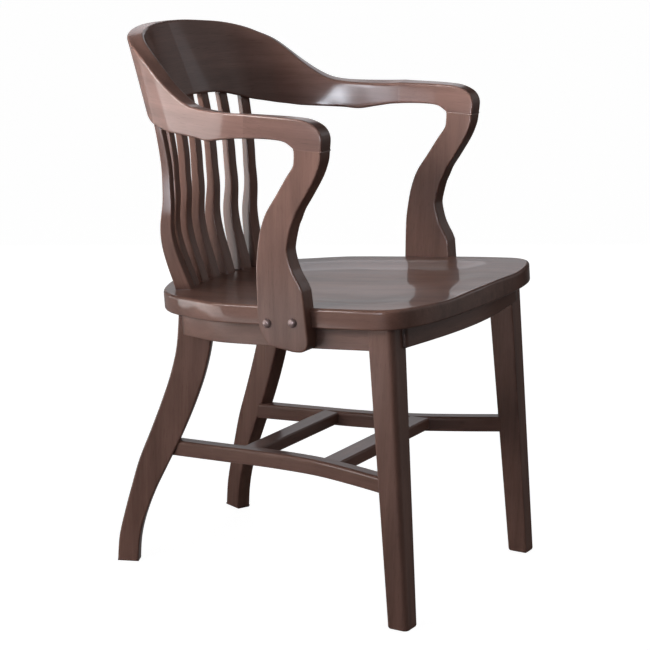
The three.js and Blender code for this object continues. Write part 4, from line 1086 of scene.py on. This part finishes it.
def make_world(base, glows):
    """Soft glows over a base strength: each has a direction, a width in degrees and a strength."""
    world = bpy.data.worlds.new("studio")
    world.use_nodes = True
    bpy.context.scene.world = world
    tree = world.node_tree
    coord = node(tree, "ShaderNodeTexCoord", (-1200, 0)).outputs["Generated"]
    total = None
    for number, (direction, width, strength) in enumerate(glows):
        dot = node(tree, "ShaderNodeVectorMath", (-1000, -200 * number), operation="DOT_PRODUCT")
        tree.links.new(coord, dot.inputs[0])
        dot.inputs[1].default_value = Vector(direction).normalized()
        glow = node(tree, "ShaderNodeMapRange", (-800, -200 * number), interpolation_type="SMOOTHSTEP")
        begins, full = (math.cos(math.radians(width * share)) for share in GLOW_SHARES)
        glow.inputs["From Min"].default_value = begins
        glow.inputs["From Max"].default_value = full
        glow.inputs["To Max"].default_value = strength
        tree.links.new(dot.outputs["Value"], glow.inputs["Value"])
        add = node(tree, "ShaderNodeMath", (-600 + 150 * number, -200 * number), operation="ADD")
        tree.links.new(glow.outputs["Result"], add.inputs[0])
        if total is None:
            add.inputs[1].default_value = base
        else:
            tree.links.new(total, add.inputs[1])
        total = add.outputs[0]
    background = tree.nodes["Background"]
    background.inputs["Color"].default_value = (*WHITE, 1)
    tree.links.new(total, background.inputs["Strength"])


def make_camera():
    """The photograph's viewpoint, fitted together with the chair's proportions."""
    ca, sa = math.cos(VIEW_AZIMUTH), math.sin(VIEW_AZIMUTH)
    ce, se = math.cos(VIEW_ELEVATION), math.sin(VIEW_ELEVATION)
    cr, sr = math.cos(VIEW_ROLL), math.sin(VIEW_ROLL)
    back = Vector((sa * ce, -ca * ce, se))
    level_right = Vector((ca, sa, 0))
    level_up = back.cross(level_right)
    right = cr * level_right + sr * level_up
    up = -sr * level_right + cr * level_up
    place = back * VIEW_DISTANCE + right * VIEW_ACROSS + up * VIEW_ABOVE + Vector(FRAME_SHIFT) * MM
    data = bpy.data.cameras.new("photo_view")
    data.sensor_width = SENSOR_WIDTH
    data.lens = FOCAL_LENGTH
    camera = bpy.data.objects.new("photo_view", data)
    bpy.context.scene.collection.objects.link(camera)
    turn = Matrix((right, up, back)).transposed().to_4x4()
    camera.matrix_world = Matrix.Translation(place) @ turn
    bpy.context.scene.camera = camera


make_floor()
make_backdrop()
make_camera()
make_world(WORLD_BASE, [  # direction, width, strength
    ((0.62, -0.75, 0.35), 35, 0.4),
    ((0, 0, 1), 45, 0.14),
    ((-0.25, -0.95, 0.5), 35, 0.27),
    ((-0.9, 0.3, -0.35), 40, 0.08),
    ((0.6, 0.6, -0.5), 40, 0.2),
    ((0.85, 0.5, 0.1), 22, 0.14),
])
# Upright panels: azimuth, distance, spread, low, high, radiance
# Floor panels: azimuth, spread, near, far, radiance
panel("window_high", 134, 1.5, 46, 1.03, 1.59, 9.6, beam=74)
panel("window_by_floor", 152, 1.2, 30, 0, 0.3, 9, gloss=False)
floor_panel("floor_patch", 150, 26, 1.35, 1.75, 2)
panel("window_low", 88, 2.0, 26, 0, 0.75, 1, matt=False)
panel("window_low_bright", 113, 2.0, 25, 0, 0.75, 5, matt=False)
floor_panel("floor_by_window", 118, 36, 1.6, 2.1, 4)
panel("side_window", 178, 2.0, 24, 1.1, 1.4, 3, DAYLIGHT, beam=90, gloss=False)
panel("far_side_fill", 35, 2.5, 60, 0.1, 1.5, 0.9, gloss=False)
panel("side_window_low", 182, 2.0, 18, 0.3, 0.68, 1.7, SIDE_SKY, beam=60, matt=False)
panel("side_window_mid", 169, 2.0, 8, 0.3, 0.68, 1.05, SIDE_SKY, beam=60, matt=False)
panel("side_window_end", 161, 2.0, 8, 0.3, 0.68, 0.5, SIDE_SKY, beam=60, matt=False)
panel("side_gleam", 187.5, 2.0, 6, 0.38, 0.7, 27, GLEAM, matt=False)
panel("wall_foot", 32, 3.0, 34, 0.3, 0.82, 0.2, WALL, matt=False)
panel("wall_low", 32, 3.0, 34, 0.82, 1.1, 0.4, WALL, matt=False)
panel("room_end", -40, 3.0, 76, 1.3, 2.3, 0.1, ROOM, matt=False)
panel("far_window", -31, 3.0, 9, 1.3, 2.3, 0.6, FAR_WINDOW, matt=False)
panel("wall_high", 32, 3.0, 34, 1.1, 2.1, 1.05, WALL, matt=False)
bpy.context.scene.view_settings.view_transform = "Standard"
